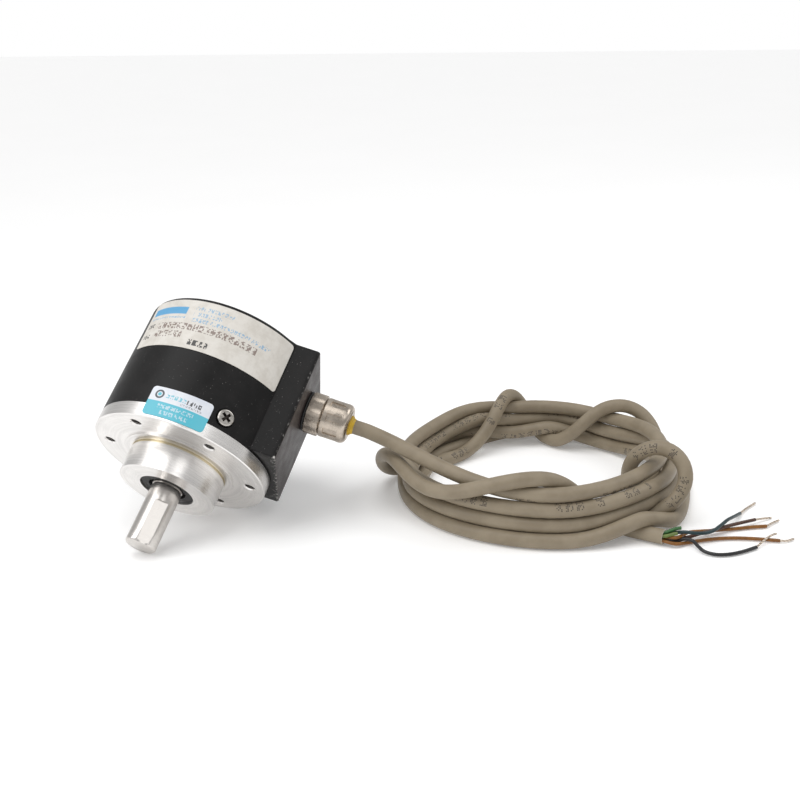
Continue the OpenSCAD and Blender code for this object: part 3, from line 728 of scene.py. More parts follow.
WIRE_COLOURS = {"green_wire_a": (0.035, 0.14, 0.035), "green_wire_b": (0.14, 0.2, 0.045),
                "brown_wire": (0.075, 0.027, 0.012), "orange_wire_a": (0.27, 0.105, 0.012),
                "orange_wire_b": (0.25, 0.095, 0.01), "teal_wire": (0.006, 0.032, 0.038),
                "black_wire": (0.012, 0.012, 0.013)}
for name, colour in WIRE_COLOURS.items():
    wires[name].data.materials.append(insulation(name.replace("_", " ") + " finish", colour))
for tip in tips.values():
    tip.data.materials.append(tinned_copper)
print("moulded finishes ready")

# %% [markdown]
# ## The jacket's finish
# PVC jacket is matt and a little uneven, because the cores press through it. Its print is
# rows of dots from a needle printer, in groups. The dots here are random, so they spell
# nothing. The dots and the cores' lay read the tube's own UV, in millimetres along and
# turns round.

# %% PVC with printed dots
DOT_PITCH, BAND_ROWS, BAND_FROM, BAND_DRIFT = 0.46, 7.0, 0.42, 0.0011
LETTER, LETTER_FULL, WORD = 7.0, 4.5, 9
INKED_FROM, WORD_FROM = 0.5, 0.2
LAY_TURNS, LAY_PER_MM, LAY_SHARE = float(10 * np.pi), 0.21, 0.12
ROUND_MM = np.pi * CABLE_D
INK, RIM_TONE, HOLLOW_PAINTED_SHADE = (0.035, 0.03, 0.03), (0.55, 0.5, 0.42), (0.16, 0.13, 0.1)
jacket = Finish("grey PVC jacket", (0.40, 0.335, 0.23), 0.48, Specular_IOR_Level=0.35)
along, turns, _ = jacket.split(jacket.uv())
cloud = jacket.noise(jacket.world_mm(), 0.12, 3.0, 0.6)
tone = jacket.blend(jacket.fade(cloud, 0.3, 0.7), (0.236, 0.193, 0.134), (0.289, 0.24, 0.171))
column = jacket.calc("DIVIDE", along, DOT_PITCH)
drift = jacket.calc("MULTIPLY", along, BAND_DRIFT)
band = jacket.calc("FRACT", jacket.calc("ADD", turns, drift))
row = jacket.calc("MULTIPLY", jacket.calc("SUBTRACT", band, BAND_FROM),
                  float(ROUND_MM / DOT_PITCH))
column_id = jacket.calc("FLOOR", column)
row_id = jacket.calc("FLOOR", row)
inked = jacket.add("ShaderNodeTexWhiteNoise", {"Vector": jacket.join(column_id, row_id)},
                   noise_dimensions="2D")
slot_in_letter = jacket.calc("MODULO", column_id, LETTER)
gap = jacket.calc("LESS_THAN", slot_in_letter, LETTER_FULL)
word = jacket.add("ShaderNodeTexWhiteNoise",
                  {"W": jacket.calc("FLOOR", jacket.calc("DIVIDE", column_id, LETTER))},
                  noise_dimensions="1D")
run = jacket.noise(jacket.calc("DIVIDE", column_id, LETTER * WORD), 1.0, 1.0, 0.5, "1D")
in_band = jacket.calc("MULTIPLY", jacket.calc("GREATER_THAN", row, 0.0),
                      jacket.calc("LESS_THAN", row, BAND_ROWS))
dx = jacket.calc("SUBTRACT", jacket.calc("FRACT", column), 0.5)
dy = jacket.calc("SUBTRACT", jacket.calc("FRACT", row), 0.5)
dot = jacket.fade(jacket.length_of(dx, dy), 0.36, 0.5, 1.0, 0.0)
for share in (in_band, gap, jacket.calc("GREATER_THAN", inked, INKED_FROM),
              jacket.calc("GREATER_THAN", word, WORD_FROM), jacket.fade(run, 0.45, 0.48)):
    dot = jacket.calc("MULTIPLY", dot, share)
tone = jacket.blend(jacket.calc("MULTIPLY", dot, 0.85), tone, INK)
cut = jacket.mark("cut")
tone = jacket.blend(jacket.fade(cut, 0.2, 0.45), tone, RIM_TONE)
# Painted shade: the hollow inside the cut end darkens towards its floor.
tone = jacket.blend(jacket.fade(cut, 0.6, 0.9), tone, HOLLOW_PAINTED_SHADE)
jacket.set("Base Color", tone)
lay = jacket.calc("SINE", jacket.calc("MULTIPLY_ADD", turns, LAY_TURNS,
                                      jacket.calc("MULTIPLY", along, LAY_PER_MM)))
uneven = jacket.calc("MULTIPLY_ADD", lay, LAY_SHARE,
                     jacket.noise(jacket.world_mm(), 0.9, 3.0, 0.6))
jacket.bump(uneven, 0.00003)
jacket.set("Roughness", jacket.fade(cloud, 0.3, 0.7, 0.42, 0.56))
cable.data.materials.append(jacket.material)
print("jacket dots every", DOT_PITCH, "mm")

# %% [markdown]
# ## The cover
# The real cover is a deep cup with a block for the gland on one side, anodised black. Its
# section has one point in every direction from the axis, so one grid serves: columns go
# round the section, and rows go up the outside, over the rear, and back down inside. The
# seats of the three screws are pressed into the same grid, with more columns and rows
# where they lie.

# %% Sizes of the cover
COVER_R = 29.0
COVER_IN_R = 27.0
COVER_FRONT = -4.6
COVER_BACK = -45.0
BLOCK_FRONT = -5.1
BLOCK_X = 31.2
BLOCK_HALF = 17.6
EDGE_R = 1.0
SCREW_Z = -8.9
SCREW_ANGLES = np.radians([61.2, 181.2, 301.2])
SEAT_R = 2.95
SEAT_DEPTH = 0.6
SEAT_EDGE = 0.12
SEAT_REACH = 20
FACE_POINTS = 49
blocks_foot = np.sqrt(COVER_R**2 - BLOCK_HALF**2)
foot_angle = np.arcsin(BLOCK_HALF / COVER_R)
print("block meets the round", round(float(np.degrees(foot_angle)), 1), "degrees from the gland")


# %% Section of the cover
SEAT_STEP = 0.22


def crowded(low, high, step, centres, reach, fine=SEAT_STEP):
    """Numbers from low to high, step apart, and fine apart within reach of the centres."""
    parts = [np.linspace(low, high, int(round((high - low) / step)) + 1)]
    parts += [np.arange(c - reach, c + reach + fine / 2, fine) for c in centres]
    values = np.sort(np.concatenate(parts))
    values = values[(values >= low) & (values <= high)]
    return values[np.r_[True, np.diff(values) > fine * 0.3]]


screw_turns = np.mod(SCREW_ANGLES, 2 * np.pi)
arc = crowded(foot_angle, 2 * np.pi - foot_angle, np.radians(2), screw_turns,
              3.3 / COVER_R, SEAT_STEP / COVER_R)
arc_xy = COVER_R * np.column_stack([np.cos(arc), np.sin(arc)])
side_x = np.linspace(blocks_foot, BLOCK_X - EDGE_R, 8)[1:]
turn_a = np.radians(np.linspace(0, 90, 9))[1:-1]
face_y = np.linspace(BLOCK_HALF - EDGE_R, EDGE_R - BLOCK_HALF, FACE_POINTS)
upper_side = np.column_stack([side_x, np.full(len(side_x), BLOCK_HALF)])
upper_edge = np.column_stack([BLOCK_X - EDGE_R + EDGE_R * np.sin(turn_a),
                              BLOCK_HALF - EDGE_R + EDGE_R * np.cos(turn_a)])
face = np.column_stack([np.full(FACE_POINTS, BLOCK_X), face_y])
half = np.vstack([upper_side, upper_edge])
section = np.vstack([arc_xy, half * [1, -1], face[::-1], half[::-1]])
is_block = np.r_[np.zeros(len(arc_xy)), np.ones(len(section) - len(arc_xy))]
angle_round = np.arctan2(section[:, 1], section[:, 0])
round_xy = COVER_R * np.column_stack([np.cos(angle_round), np.sin(angle_round)])
print("section of", len(section), "points")

# %% Rows of the cover
tangent = np.roll(section, -1, axis=0) - np.roll(section, 1, axis=0)
tangent /= np.linalg.norm(tangent, axis=1)[:, None]
outward = np.column_stack([tangent[:, 1], -tangent[:, 0]])
inner_xy = COVER_IN_R / COVER_R * round_xy
ROUND_RIM, BLOCK_RIM, RIM_EASE = 1.5, 0.45, 6
FRONT_EDGE, BLOCK_EDGE, REAR_WALL = 0.12, 0.35, 2
ease = np.clip((np.degrees(np.abs(angle_round)) - np.degrees(foot_angle)) / RIM_EASE, 0, 1)
rim = np.where(is_block > 0, BLOCK_RIM, BLOCK_RIM + (ROUND_RIM - BLOCK_RIM) * ease)


def cover_row(xy, z):
    """One row of the grid: the points xy, all at the height z."""
    return np.column_stack([xy, np.broadcast_to(z, len(xy))])


rows = [cover_row(inner_xy * 0.0, COVER_BACK + REAR_WALL),
        cover_row(inner_xy, COVER_BACK + REAR_WALL), cover_row(inner_xy, COVER_FRONT),
        cover_row(round_xy * (1 - FRONT_EDGE / COVER_R), COVER_FRONT),
        cover_row(round_xy, COVER_FRONT - FRONT_EDGE), cover_row(round_xy, BLOCK_FRONT)]
rows += [cover_row(section - outward * (BLOCK_EDGE * is_block * (1 - np.sin(a)))[:, None],
                   BLOCK_FRONT - BLOCK_EDGE * (1 - np.cos(a)))
         for a in np.radians([0, 30, 60, 90])]
first_wall = len(rows)
wall_z = crowded(COVER_BACK + ROUND_RIM, BLOCK_FRONT - BLOCK_RIM, 2.5, [SCREW_Z], 3.2)[::-1]
rows += [cover_row(section, z) for z in wall_z]
wall = slice(first_wall, len(rows))
for a in np.radians([15, 30, 45, 60, 75, 90]):
    rows.append(cover_row(section - outward * (rim * (1 - np.cos(a)))[:, None],
                          COVER_BACK + rim * (1 - np.sin(a))))
rear = section - outward * rim[:, None]
rows += [cover_row(rear * share, COVER_BACK) for share in (0.97, 0.6, 0.3, 0.0)]
cover_mm = np.array(rows)
print("cover grid", cover_mm.shape)


# %% Press the screw seats into the cover and make it
def press_seats(points):
    """Moves wall points within SEAT_R of a screw's axis in to COVER_R - SEAT_DEPTH along it.

    The move fades out over SEAT_EDGE. Points less than SEAT_REACH along the axis lie on
    the cover's other side and stay.
    """
    x, y, z = points[..., 0], points[..., 1], points[..., 2]
    for a in SCREW_ANGLES:
        facing = x * np.cos(a) + y * np.sin(a)
        off = np.hypot(-x * np.sin(a) + y * np.cos(a), z - SCREW_Z)
        drop = np.clip((SEAT_R - off) / SEAT_EDGE, 0, 1) * (facing > SEAT_REACH)
        move = drop * np.maximum(facing - (COVER_R - SEAT_DEPTH), 0)
        x, y = x - np.cos(a) * move, y - np.sin(a) * move
    return np.stack([x, y, z], axis=-1)


WORN_WIDTH, CHIP_WIDTH, FACE_SLACK = 0.55, 0.95, 0.05
cover_mm[wall] = press_seats(cover_mm[wall])
x, y, z = np.moveaxis(cover_mm, -1, 0)
to_face = np.maximum(BLOCK_X - x, 0)
corner_off = np.minimum(np.hypot(x - BLOCK_X, y - BLOCK_HALF),
                        np.hypot(x - BLOCK_X, y + BLOCK_HALF))
end_off = np.minimum(np.hypot(to_face, z - BLOCK_FRONT), np.hypot(to_face, z - COVER_BACK))
worn = np.exp(-(np.minimum(corner_off, end_off) / WORN_WIDTH)**2)
chip_off = np.linalg.norm(cover_mm - [BLOCK_X, BLOCK_HALF, BLOCK_FRONT], axis=-1)
# The outer mark picks the block's outer face, where a browner sheen is painted.
cover_marks = {"worn": worn, "chip": np.exp(-(chip_off / CHIP_WIDTH)**2),
               "outer": (x > BLOCK_X - FACE_SLACK) * 1.0}
cover = piece_from_grid("anodised_cover", placed(cover_mm), marks=cover_marks, sharp=28)

# %% [markdown]
# ## Black anodising
# Anodising is a thin hard skin. It is satin, a little dusty, and rubs through to bright
# metal on sharp edges. The wear is a number kept on the mesh, broken up by noise. The
# block's outer face gets a browner tone, a painted sheen of the light it catches at a glancing
# angle.

# %% Finish the cover
anodised = Finish("black anodising", (0.013, 0.0125, 0.0125), 0.4, Specular_IOR_Level=0.2)
point = anodised.own_mm()
cloud = anodised.noise(point, 0.16, 4.0, 0.6)
grain = anodised.noise(point, 7.0, 3.0, 0.6)
tone = anodised.blend(anodised.fade(cloud, 0.35, 0.7), (0.006, 0.0058, 0.0058),
                      (0.011, 0.0102, 0.0102))
# Painted sheen: the block's outer face is tinted browner.
tone = anodised.blend(anodised.mark("outer"), tone, (0.034, 0.026, 0.025))
specks = anodised.fade(anodised.noise(point, 3.1, 1.0, 0.4), 0.765, 0.79)
tone = anodised.blend(anodised.calc("MULTIPLY", specks, 0.5), tone, (0.42, 0.4, 0.38))
rubbed = anodised.calc("MULTIPLY", anodised.mark("worn"),
                       anodised.fade(anodised.noise(point, 0.9, 5.0, 0.7), 0.42, 0.7))
rubbed = anodised.fade(rubbed, 0.12, 0.7, 0.0, 0.5)
bare = anodised.fade(anodised.calc("MULTIPLY_ADD", anodised.noise(point, 2.4, 3.0), 0.7,
                                   anodised.mark("chip")), 0.78, 0.95)
worn_through = anodised.calc("MAXIMUM", rubbed, bare)
anodised.set("Base Color", anodised.blend(worn_through, tone, (0.62, 0.6, 0.57)))
anodised.set("Metallic", worn_through)
anodised.set("Roughness", anodised.fade(cloud, 0.3, 0.7, 0.36, 0.47))
anodised.bump(grain, 0.00002)
dress(cover, "black_anodised", "housing", "cover", material=anodised.material)
print("cover wears", round(float(worn.max()), 2), "at its edges")

# %% [markdown]
# ## Label and sticker
# Both are thin foils on the round of the cover. A foil is a grid over angle and height
# whose ends draw in at the corners. Its last rows and columns drop to the inner radius,
# where they meet the back face, so the foil is a closed sheet with a real thickness.


# %% A foil laid round the cover
FOIL_LIFT, FOIL_THICK = 0.08, 0.12


def foil(name, start, sweep, front, length, corner):
    """Point (t, z) lies at the angle start + sweep * t, FOIL_LIFT + FOIL_THICK off the cover.

    Near an end the angle range draws in by corner - sqrt(corner^2 - (corner - d)^2), where
    d is the distance to that end. UV is in mm from the far end of the sweep and the front.
    """
    outer, inner = COVER_R + FOIL_LIFT + FOIL_THICK, COVER_R + FOIL_LIFT
    d = corner * (1 - np.cos(np.radians(np.linspace(0, 90, 9))))
    z = np.r_[0, d, np.linspace(corner, length - corner, 12)[1:-1], length - d[::-1], length]
    nearest = np.clip(np.minimum(z, length - z), 0, corner)
    draw_in = corner - np.sqrt(np.maximum(corner**2 - (corner - nearest)**2, 0))
    t = np.r_[0, np.linspace(0, 1, 60), 1]
    width = np.radians(sweep) * outer
    arc_mm = draw_in[:, None] + t[None, :] * (width - 2 * draw_in[:, None])
    angle = np.radians(start) + arc_mm / outer
    radius = np.full(angle.shape, outer)
    radius[[0, -1], :] = inner
    radius[:, [0, -1]] = inner
    depth = -front - np.broadcast_to(z[:, None], angle.shape)
    top = np.stack([radius * np.cos(angle), radius * np.sin(angle), depth], axis=-1)
    under = np.stack([inner * np.cos(angle), inner * np.sin(angle), depth], axis=-1)
    flat = np.stack([width - arc_mm, np.broadcast_to(z[:, None], angle.shape)], axis=-1)
    uv = np.concatenate([flat, flat[::-1], flat[:1]])
    grid = np.concatenate([top, under[::-1]])
    return piece_from_grid(name, placed(grid), wrap_rows=True, wrap_columns=False, uv=uv)


LABEL_GAP = 1.2
label = foil("rating_label", start=float(np.degrees(foot_angle)) + LABEL_GAP, sweep=108,
             front=25.6, length=17.8, corner=1.1)
sticker = foil("seal_sticker_foil", start=70, sweep=39.5, front=0.9, length=9.9, corner=1.2)

# %% [markdown]
# ## Generic print
# The foils carry marks that stand for print and spell nothing: plain bars, a ring with a
# dot, and groups of random cells. A bar is a window in the foil's own millimetres. White
# noise breaks a window into cells.


# %% Marks on a foil
class Print:
    """Adds marks to a finish, one colour after another, in the foil's own mm."""

    def __init__(self, finish, ground):
        self.f = finish
        self.u, self.v, _ = finish.split(finish.uv())
        self.tone = ground

    def window(self, low, high, soft=0.05):
        """1 between the corners low and high."""
        return self.f.calc("MULTIPLY", self.f.within(self.u, low[0], high[0], soft),
                           self.f.within(self.v, low[1], high[1], soft))

    def bar(self, low, high, colour, soft, share=1.0):
        """A plain block of colour."""
        mask = self.f.calc("MULTIPLY", self.window(low, high, soft), share)
        self.tone = self.f.blend(mask, self.tone, colour)

    def cells(self, low, high, colour, cell, letter, share, full, seed):
        """Random cells, in groups of letter columns, the last of each group left empty."""
        column = self.f.calc("FLOOR", self.f.calc("DIVIDE", self.u, cell[0]))
        row = self.f.calc("FLOOR", self.f.calc("DIVIDE", self.v, cell[1]))
        chance = self.f.add("ShaderNodeTexWhiteNoise", {"Vector": self.f.join(column, row, seed)})
        on = self.f.calc("LESS_THAN", chance, full)
        gap = self.f.calc("LESS_THAN", self.f.calc("MODULO", column, letter), letter - 1.5)
        mask = self.window(low, high)
        for part in (on, gap, share):
            mask = self.f.calc("MULTIPLY", mask, part)
        self.tone = self.f.blend(mask, self.tone, colour)

    def done(self):
        """The finished material."""
        self.f.set("Base Color", self.tone)
        return self.f.material


FOIL_BUMP = 0.00003
paper = Finish("cream label foil", (0.66, 0.62, 0.56), 0.5)
stain = paper.noise(paper.own_mm(), 0.25, 4.0, 0.65)
BLUE, DARK, BROWN = (0.05, 0.33, 0.62), (0.03, 0.03, 0.03), (0.13, 0.07, 0.055)
ground = paper.blend(paper.fade(stain, 0.35, 0.7), (0.72, 0.69, 0.64), (0.62, 0.585, 0.53))
marks = Print(paper, ground)
marks.bar((1.8, 12.3), (17.2, 15.0), BLUE, 0.12, 0.9)
for cells in (((1.8, 10.6), (17.6, 11.3), BLUE, (0.3, 0.35), 4, 0.6, 0.6, 1.0),
              ((20.0, 14.2), (33.0, 15.6), BLUE, (0.3, 0.46), 4, 0.55, 0.5, 2.0),
              ((20.0, 12.0), (30.0, 13.4), BLUE, (0.3, 0.46), 4, 0.55, 0.5, 3.0),
              ((20.0, 9.8), (47.5, 11.2), BLUE, (0.3, 0.46), 4, 0.6, 0.5, 4.0),
              ((2.0, 7.2), (5.6, 8.9), DARK, (0.36, 0.42), 4, 0.95, 0.62, 5.0),
              ((7.4, 6.5), (44.0, 8.9), BROWN, (0.4, 0.48), 5, 0.75, 0.5, 6.0),
              ((2.0, 3.0), (5.6, 4.7), DARK, (0.36, 0.42), 4, 0.95, 0.62, 7.0),
              ((7.4, 3.4), (19.0, 5.8), BROWN, (0.4, 0.48), 5, 0.75, 0.5, 8.0),
              ((22.4, 1.4), (29.0, 3.4), DARK, (0.4, 0.5), 5, 0.95, 0.66, 9.0)):
    marks.cells(*cells)
paper.bump(stain, FOIL_BUMP)
dress(label, "label_foil", "housing", "name_label", material=marks.done())

vinyl = Finish("printed vinyl", (0.7, 0.75, 0.78), 0.28)
sheen_cloud = vinyl.noise(vinyl.own_mm(), 0.3, 2.0)
CYAN, PALE = (0.09, 0.48, 0.60), (0.70, 0.74, 0.80)
ground = vinyl.blend(vinyl.fade(sheen_cloud, 0.3, 0.7), (0.66, 0.70, 0.78), (0.74, 0.76, 0.80))
seal = Print(vinyl, ground)
seal.bar((-1, -1), (25, 5.0), CYAN, 0.06)
for cells in (((5.2, 6.6), (12.0, 8.0), CYAN, (0.34, 0.46), 4, 0.8, 0.6, 1.0),
              ((12.2, 6.4), (16.8, 7.9), DARK, (0.36, 0.5), 4, 0.9, 0.66, 2.0),
              ((10.4, 5.5), (17.6, 6.1), DARK, (0.22, 0.28), 4, 0.6, 0.5, 3.0),
              ((4.0, 2.9), (15.6, 4.2), PALE, (0.34, 0.44), 5, 0.6, 0.6, 4.0),
              ((5.6, 0.9), (14.4, 2.2), PALE, (0.34, 0.44), 5, 0.6, 0.6, 5.0)):
    seal.cells(*cells)
RING_AT, RING_R, DOT_R, RING_TONE = (3.1, 7.4), (0.9, 1.5), (0.55, 0.65), (0.06, 0.07, 0.08)
off_ring = vinyl.length_of(vinyl.calc("SUBTRACT", seal.u, RING_AT[0]),
                           vinyl.calc("SUBTRACT", seal.v, RING_AT[1]))
seal.tone = vinyl.blend(vinyl.within(off_ring, *RING_R, 0.06), seal.tone, RING_TONE)
seal.tone = vinyl.blend(vinyl.fade(off_ring, *DOT_R, 1.0, 0.0), seal.tone, CYAN)
vinyl.bump(sheen_cloud, FOIL_BUMP)
dress(sticker, "sticker_vinyl", "housing", "seal_sticker", material=seal.done())

# %% [markdown]
# ## Turned pieces
# A turned piece is a profile swung round an axis. The profile lists a place along the axis
# and a distance from it. Flutes and pockets are then a change of that distance with the
# angle, which is how they are milled.


# %% Swing a profile
def swung(profile, angles):
    """height[row], radius[row, column] of a profile (height, radius) over all angles."""
    height, radius = np.array(profile, float).T
    return height, np.repeat(radius[:, None], len(angles), axis=1)


def on_shaft(height, radius, angles):
    """World points of a surface round the shaft's axis."""
    return placed(np.stack([radius * np.cos(angles), radius * np.sin(angles),
                            np.broadcast_to(height[:, None], radius.shape)], axis=-1))


def on_gland(height, radius, angles):
    """World points of a surface round the gland's axis; height runs outwards."""
    return placed(np.stack([np.broadcast_to(height[:, None], radius.shape),
                            radius * np.sin(angles), -GLAND_BACK - radius * np.cos(angles)],
                           axis=-1))


def rounded(z, r, size, turn_from, turn_to, steps=5):
    """Profile points of an edge of that size whose circle's middle is at (z, r)."""
    a = np.radians(np.linspace(turn_from, turn_to, steps))
    return [(z + size * np.sin(t), r + size * np.cos(t)) for t in a]


def full_turn(count):
    """count angles once round, in radians."""
    return np.linspace(0, 2 * np.pi, count, endpoint=False)


# %% [markdown]
# ## The gland
# A cable gland clamps the cable with a cap nut. Its collar is fluted for grip and its nut
# has pockets for a spanner and a domed end. A rubber ring seals the collar on the block,
# and a yellow seal shows round the cable.

# %% Make the gland
COLLAR_X, COLLAR_END, COLLAR_R = 32.1, 37.0, 6.95
NUT_X, NUT_END, NUT_R, DOME = 37.3, 46.4, 6.6, 2.0
NECK_R, BORE_R, MOUTH_R = 4.95, 2.5, 3.35
FLUTES, POCKETS = 16, 8
FLUTE_DEEP, FLUTE_SHAPE, INSIDE_X = 0.36, 0.8, 26
turn = full_turn(FLUTES * 16)
profile = [(INSIDE_X, BORE_R), (INSIDE_X, NECK_R), (COLLAR_X, NECK_R), (COLLAR_X, COLLAR_R - 0.3),
           (COLLAR_X + 0.25, COLLAR_R), (COLLAR_X + 1, COLLAR_R), (COLLAR_END - 1, COLLAR_R),
           (COLLAR_END - 0.3, COLLAR_R), (COLLAR_END, COLLAR_R - 0.35), (COLLAR_END, NECK_R),
           (NUT_END - 3, NECK_R), (NUT_END - 3, BORE_R)]
height, radius = swung(profile, turn)
flute = FLUTE_DEEP * np.abs(np.sin(FLUTES / 2 * turn))**FLUTE_SHAPE
fluted = (radius > COLLAR_R - 0.4).astype(float)
gland_collar = piece_from_grid(
    "gland_collar", on_gland(height, radius - flute * fluted, turn), wrap_rows=True, sharp=30)
dress(gland_collar, "nickel_plate", "housing", "gland_body", material=nickel)

POCKET_FROM, POCKET_TO, POCKET_HALF = NUT_X + 1.6, NUT_X + 6.4, np.radians(10.5)
POCKET_DEEP, POCKET_EDGE, HALF_SECTOR = 0.55, 0.04, 180 / POCKETS
sector = np.r_[np.linspace(-HALF_SECTOR, -12, 5), -10.8, -10.3, -6, 0, 6, 10.3, 10.8,
               np.linspace(12, HALF_SECTOR, 5)[:-1]]
sectors = 2 * HALF_SECTOR * np.arange(POCKETS)[:, None]
turn = np.radians((sector[None, :] + sectors + HALF_SECTOR).ravel())
pocket_rows = [(z, NUT_R) for z in (POCKET_FROM - POCKET_EDGE, POCKET_FROM + POCKET_EDGE,
                                    NUT_X + 3, NUT_X + 5,
                                    POCKET_TO - POCKET_EDGE, POCKET_TO + POCKET_EDGE)]
profile = [(NUT_X, NECK_R + 0.05), (NUT_X, NUT_R - 0.25), (NUT_X + 0.25, NUT_R), *pocket_rows,
           *rounded(NUT_END - DOME, NUT_R - DOME, DOME, 0, 86, 10), (NUT_END, MOUTH_R + 0.25),
           (NUT_END - 0.2, MOUTH_R), (NUT_END - 2, MOUTH_R), (NUT_END - 2, NECK_R + 0.05)]
height, radius = swung(profile, turn)
half = np.pi / POCKETS
from_middle = np.mod(turn - np.radians(HALF_SECTOR) + half, 2 * half) - half
in_pocket = ((np.abs(from_middle) < POCKET_HALF)[None, :]
             & ((height > POCKET_FROM) & (height < POCKET_TO))[:, None])
pocket_floor = (NUT_R - POCKET_DEEP) / np.cos(from_middle)
radius = np.where(in_pocket, pocket_floor, radius)
gland_cap = piece_from_grid("gland_cap_nut", on_gland(height, radius, turn), wrap_rows=True,
                            sharp=30)
dress(gland_cap, "nickel_plate", "housing", "gland_nut", material=nickel)

turn = full_turn(64)
profile = [(NUT_END - 1, BORE_R - 0.05), (NUT_END - 1, MOUTH_R - 0.05),
           (NUT_END + 0.1, MOUTH_R - 0.05), *rounded(NUT_END + 0.2, MOUTH_R - 0.55, 0.5, 0, 90),
           (GLAND_END - 0.3, BORE_R + 0.1), (GLAND_END, BORE_R - 0.05)]
seal_ring = piece_from_grid("gland_seal_ring", on_gland(*swung(profile, turn), turn),
                            wrap_rows=True)
dress(seal_ring, "yellow_seal", "housing", "gland_seal", material=yellow_seal)
profile = [(BLOCK_X, 5.0), (BLOCK_X, 6.2), *rounded(31.65, 6.3, 0.35, -50, 50),
           (COLLAR_X, 6.2), (COLLAR_X, 5.0)]
collar_ring = piece_from_grid("gland_face_ring", on_gland(*swung(profile, turn), turn),
                              wrap_rows=True)
dress(collar_ring, "black_rubber", "housing", "gland_o_ring", material=rubber)

# %% [markdown]
# ## The cover screws
# Three pan-head screws hold the cover. The head is a turned profile; the cross recess is
# pressed into its top, where a point lies in one of two crossed bars. The recess is
# painted dark as shade, so the depth is also kept as a mark.

# %% Make the screws
SEAT_AT, HEAD_H, HEAD_R, EDGE = 28.4, 1.6, 2.7, 0.6
SHANK_H, SHANK_R, CROSS_TURN = 6.4, 1.45, 0.5
CROSS_HALF, CROSS_REACH, CROSS_DEEP = 0.46, 1.65, 0.85
turn = full_turn(96)
profile = [(-SHANK_H, 0), (-SHANK_H, SHANK_R), (0, SHANK_R), (0, HEAD_R),
           (HEAD_H - EDGE, HEAD_R),
           *rounded(HEAD_H - EDGE, HEAD_R - EDGE, EDGE, 15, 80, 6),
           *[(HEAD_H, r) for r in np.linspace(HEAD_R - EDGE, 0, 24)]]
height, radius = swung(profile, turn)
x, y = np.abs(radius * np.cos(turn + CROSS_TURN)), np.abs(radius * np.sin(turn + CROSS_TURN))
narrow, long = np.minimum(x, y), np.maximum(x, y)
recess = np.clip((CROSS_HALF - narrow) / 0.1, 0, 1) * np.clip((CROSS_REACH - long) / 0.15, 0, 1)
recess = recess * (height[:, None] > HEAD_H - 0.01)
lift = SEAT_AT + height[:, None] - CROSS_DEEP * recess
across, up = radius * np.cos(turn), radius * np.sin(turn)
for number, a in enumerate(SCREW_ANGLES):
    grid = np.stack([lift * np.cos(a) - across * np.sin(a), lift * np.sin(a) + across * np.cos(a),
                     SCREW_Z + up], axis=-1)
    screw = piece_from_grid(f"cover_screw_{number + 1}", placed(grid), marks={"recess": recess})
    dress(screw, "screw_steel", "housing", "cover_screws", material=screw_steel)

# %% [markdown]
# ## The shaft
# The shaft is ground steel with a flat for a set screw and a shallow groove near the bore.
# The flat is the cylinder's radius limited to a plane: no point may lie further than 4.5 mm
# in the flat's direction. Two columns stand exactly at the flat's edges, so that they are
# crisp.

# %% Make the shaft
FLAT_TURN = np.radians(73)
SHAFT_R, STUB_R, LAND_R, CLIP_R, SHAFT_END = 5, 4, 6.3, 4.7, 30
FLAT_REACH, FLAT_START, FACING = 4.5, 15.3, 0.2
edge_turn = np.arccos(FLAT_REACH / SHAFT_R)
turn = np.sort(np.r_[full_turn(96), edge_turn, 2 * np.pi - edge_turn])
profile = [(-33, 0), (-33, STUB_R), (-24, STUB_R), (-24, SHAFT_R), (-15, SHAFT_R),
           (-15, LAND_R), (1, LAND_R), (1, SHAFT_R), (9.3, SHAFT_R), (9.3, CLIP_R),
           (10.1, CLIP_R), (10.1, SHAFT_R), (FLAT_START - 0.02, SHAFT_R),
           (FLAT_START, SHAFT_R), (20, SHAFT_R), (25, SHAFT_R), (29.35, SHAFT_R),
           (29.55, 4.93), (29.93, 4.58), (SHAFT_END, 4.4), (SHAFT_END, 0)]
height, radius = swung(profile, turn)
toward_flat = np.maximum(np.cos(turn), FACING)
limit = np.where(np.cos(turn) > FACING, FLAT_REACH / toward_flat, np.inf)
radius = np.where(height[:, None] >= FLAT_START, np.minimum(radius, limit), radius)
shaft = piece_from_grid("output_shaft_surface", on_shaft(height, radius, turn + FLAT_TURN),
                        sharp=25)
dress(shaft, "shaft_steel", "rotor", "shaft", material=shaft_steel)

# %% [markdown]
# ## Finishes for what stays CAD
# The CAD pieces that already have the right shape only get a finish. Most of them lie
# inside the cover, and show when someone takes the model apart.

# %% Finish the CAD pieces
CAD_FINISHES = {
    "flange": turned_aluminium, "disc_hub": turned_aluminium,
    "board_screws": screw_steel, "cover_o_ring": rubber, "shaft_seal": rubber,
    "front_outer_ring": bearing_steel, "front_inner_ring": bearing_steel,
    "rear_outer_ring": bearing_steel, "rear_inner_ring": bearing_steel,
    "front_ball_set": bearing_steel, "rear_ball_set": bearing_steel,
    "front_shields": shield_steel, "rear_shields": shield_steel,
    "preload_washer": spring_steel, "housing_circlip": spring_steel,
    "hub_set_screw": spring_steel, "disc_clamp": shaft_steel, "code_disc": disc_glass,
    "reticle": disc_glass, "led_bracket": black_plastic, "led": ivory_plastic,
    "photodetector": black_plastic, "driver_chip": black_plastic,
    "gland_clamp_ring": black_plastic, "sensor_board": solder_mask, "board_standoffs": brass,
    "board_capacitors": can_sleeve, "board_socket": ivory_plastic, "inner_leads": red_wire}
for node, finish in CAD_FINISHES.items():
    mesh = frame["nodes"][node].data
    mesh.materials.clear()
    mesh.materials.append(finish)
bare = [n for n, o in frame["nodes"].items() if not o.hide_render and n not in CAD_FINISHES]
print("CAD pieces finished:", len(CAD_FINISHES), "left bare:", bare)

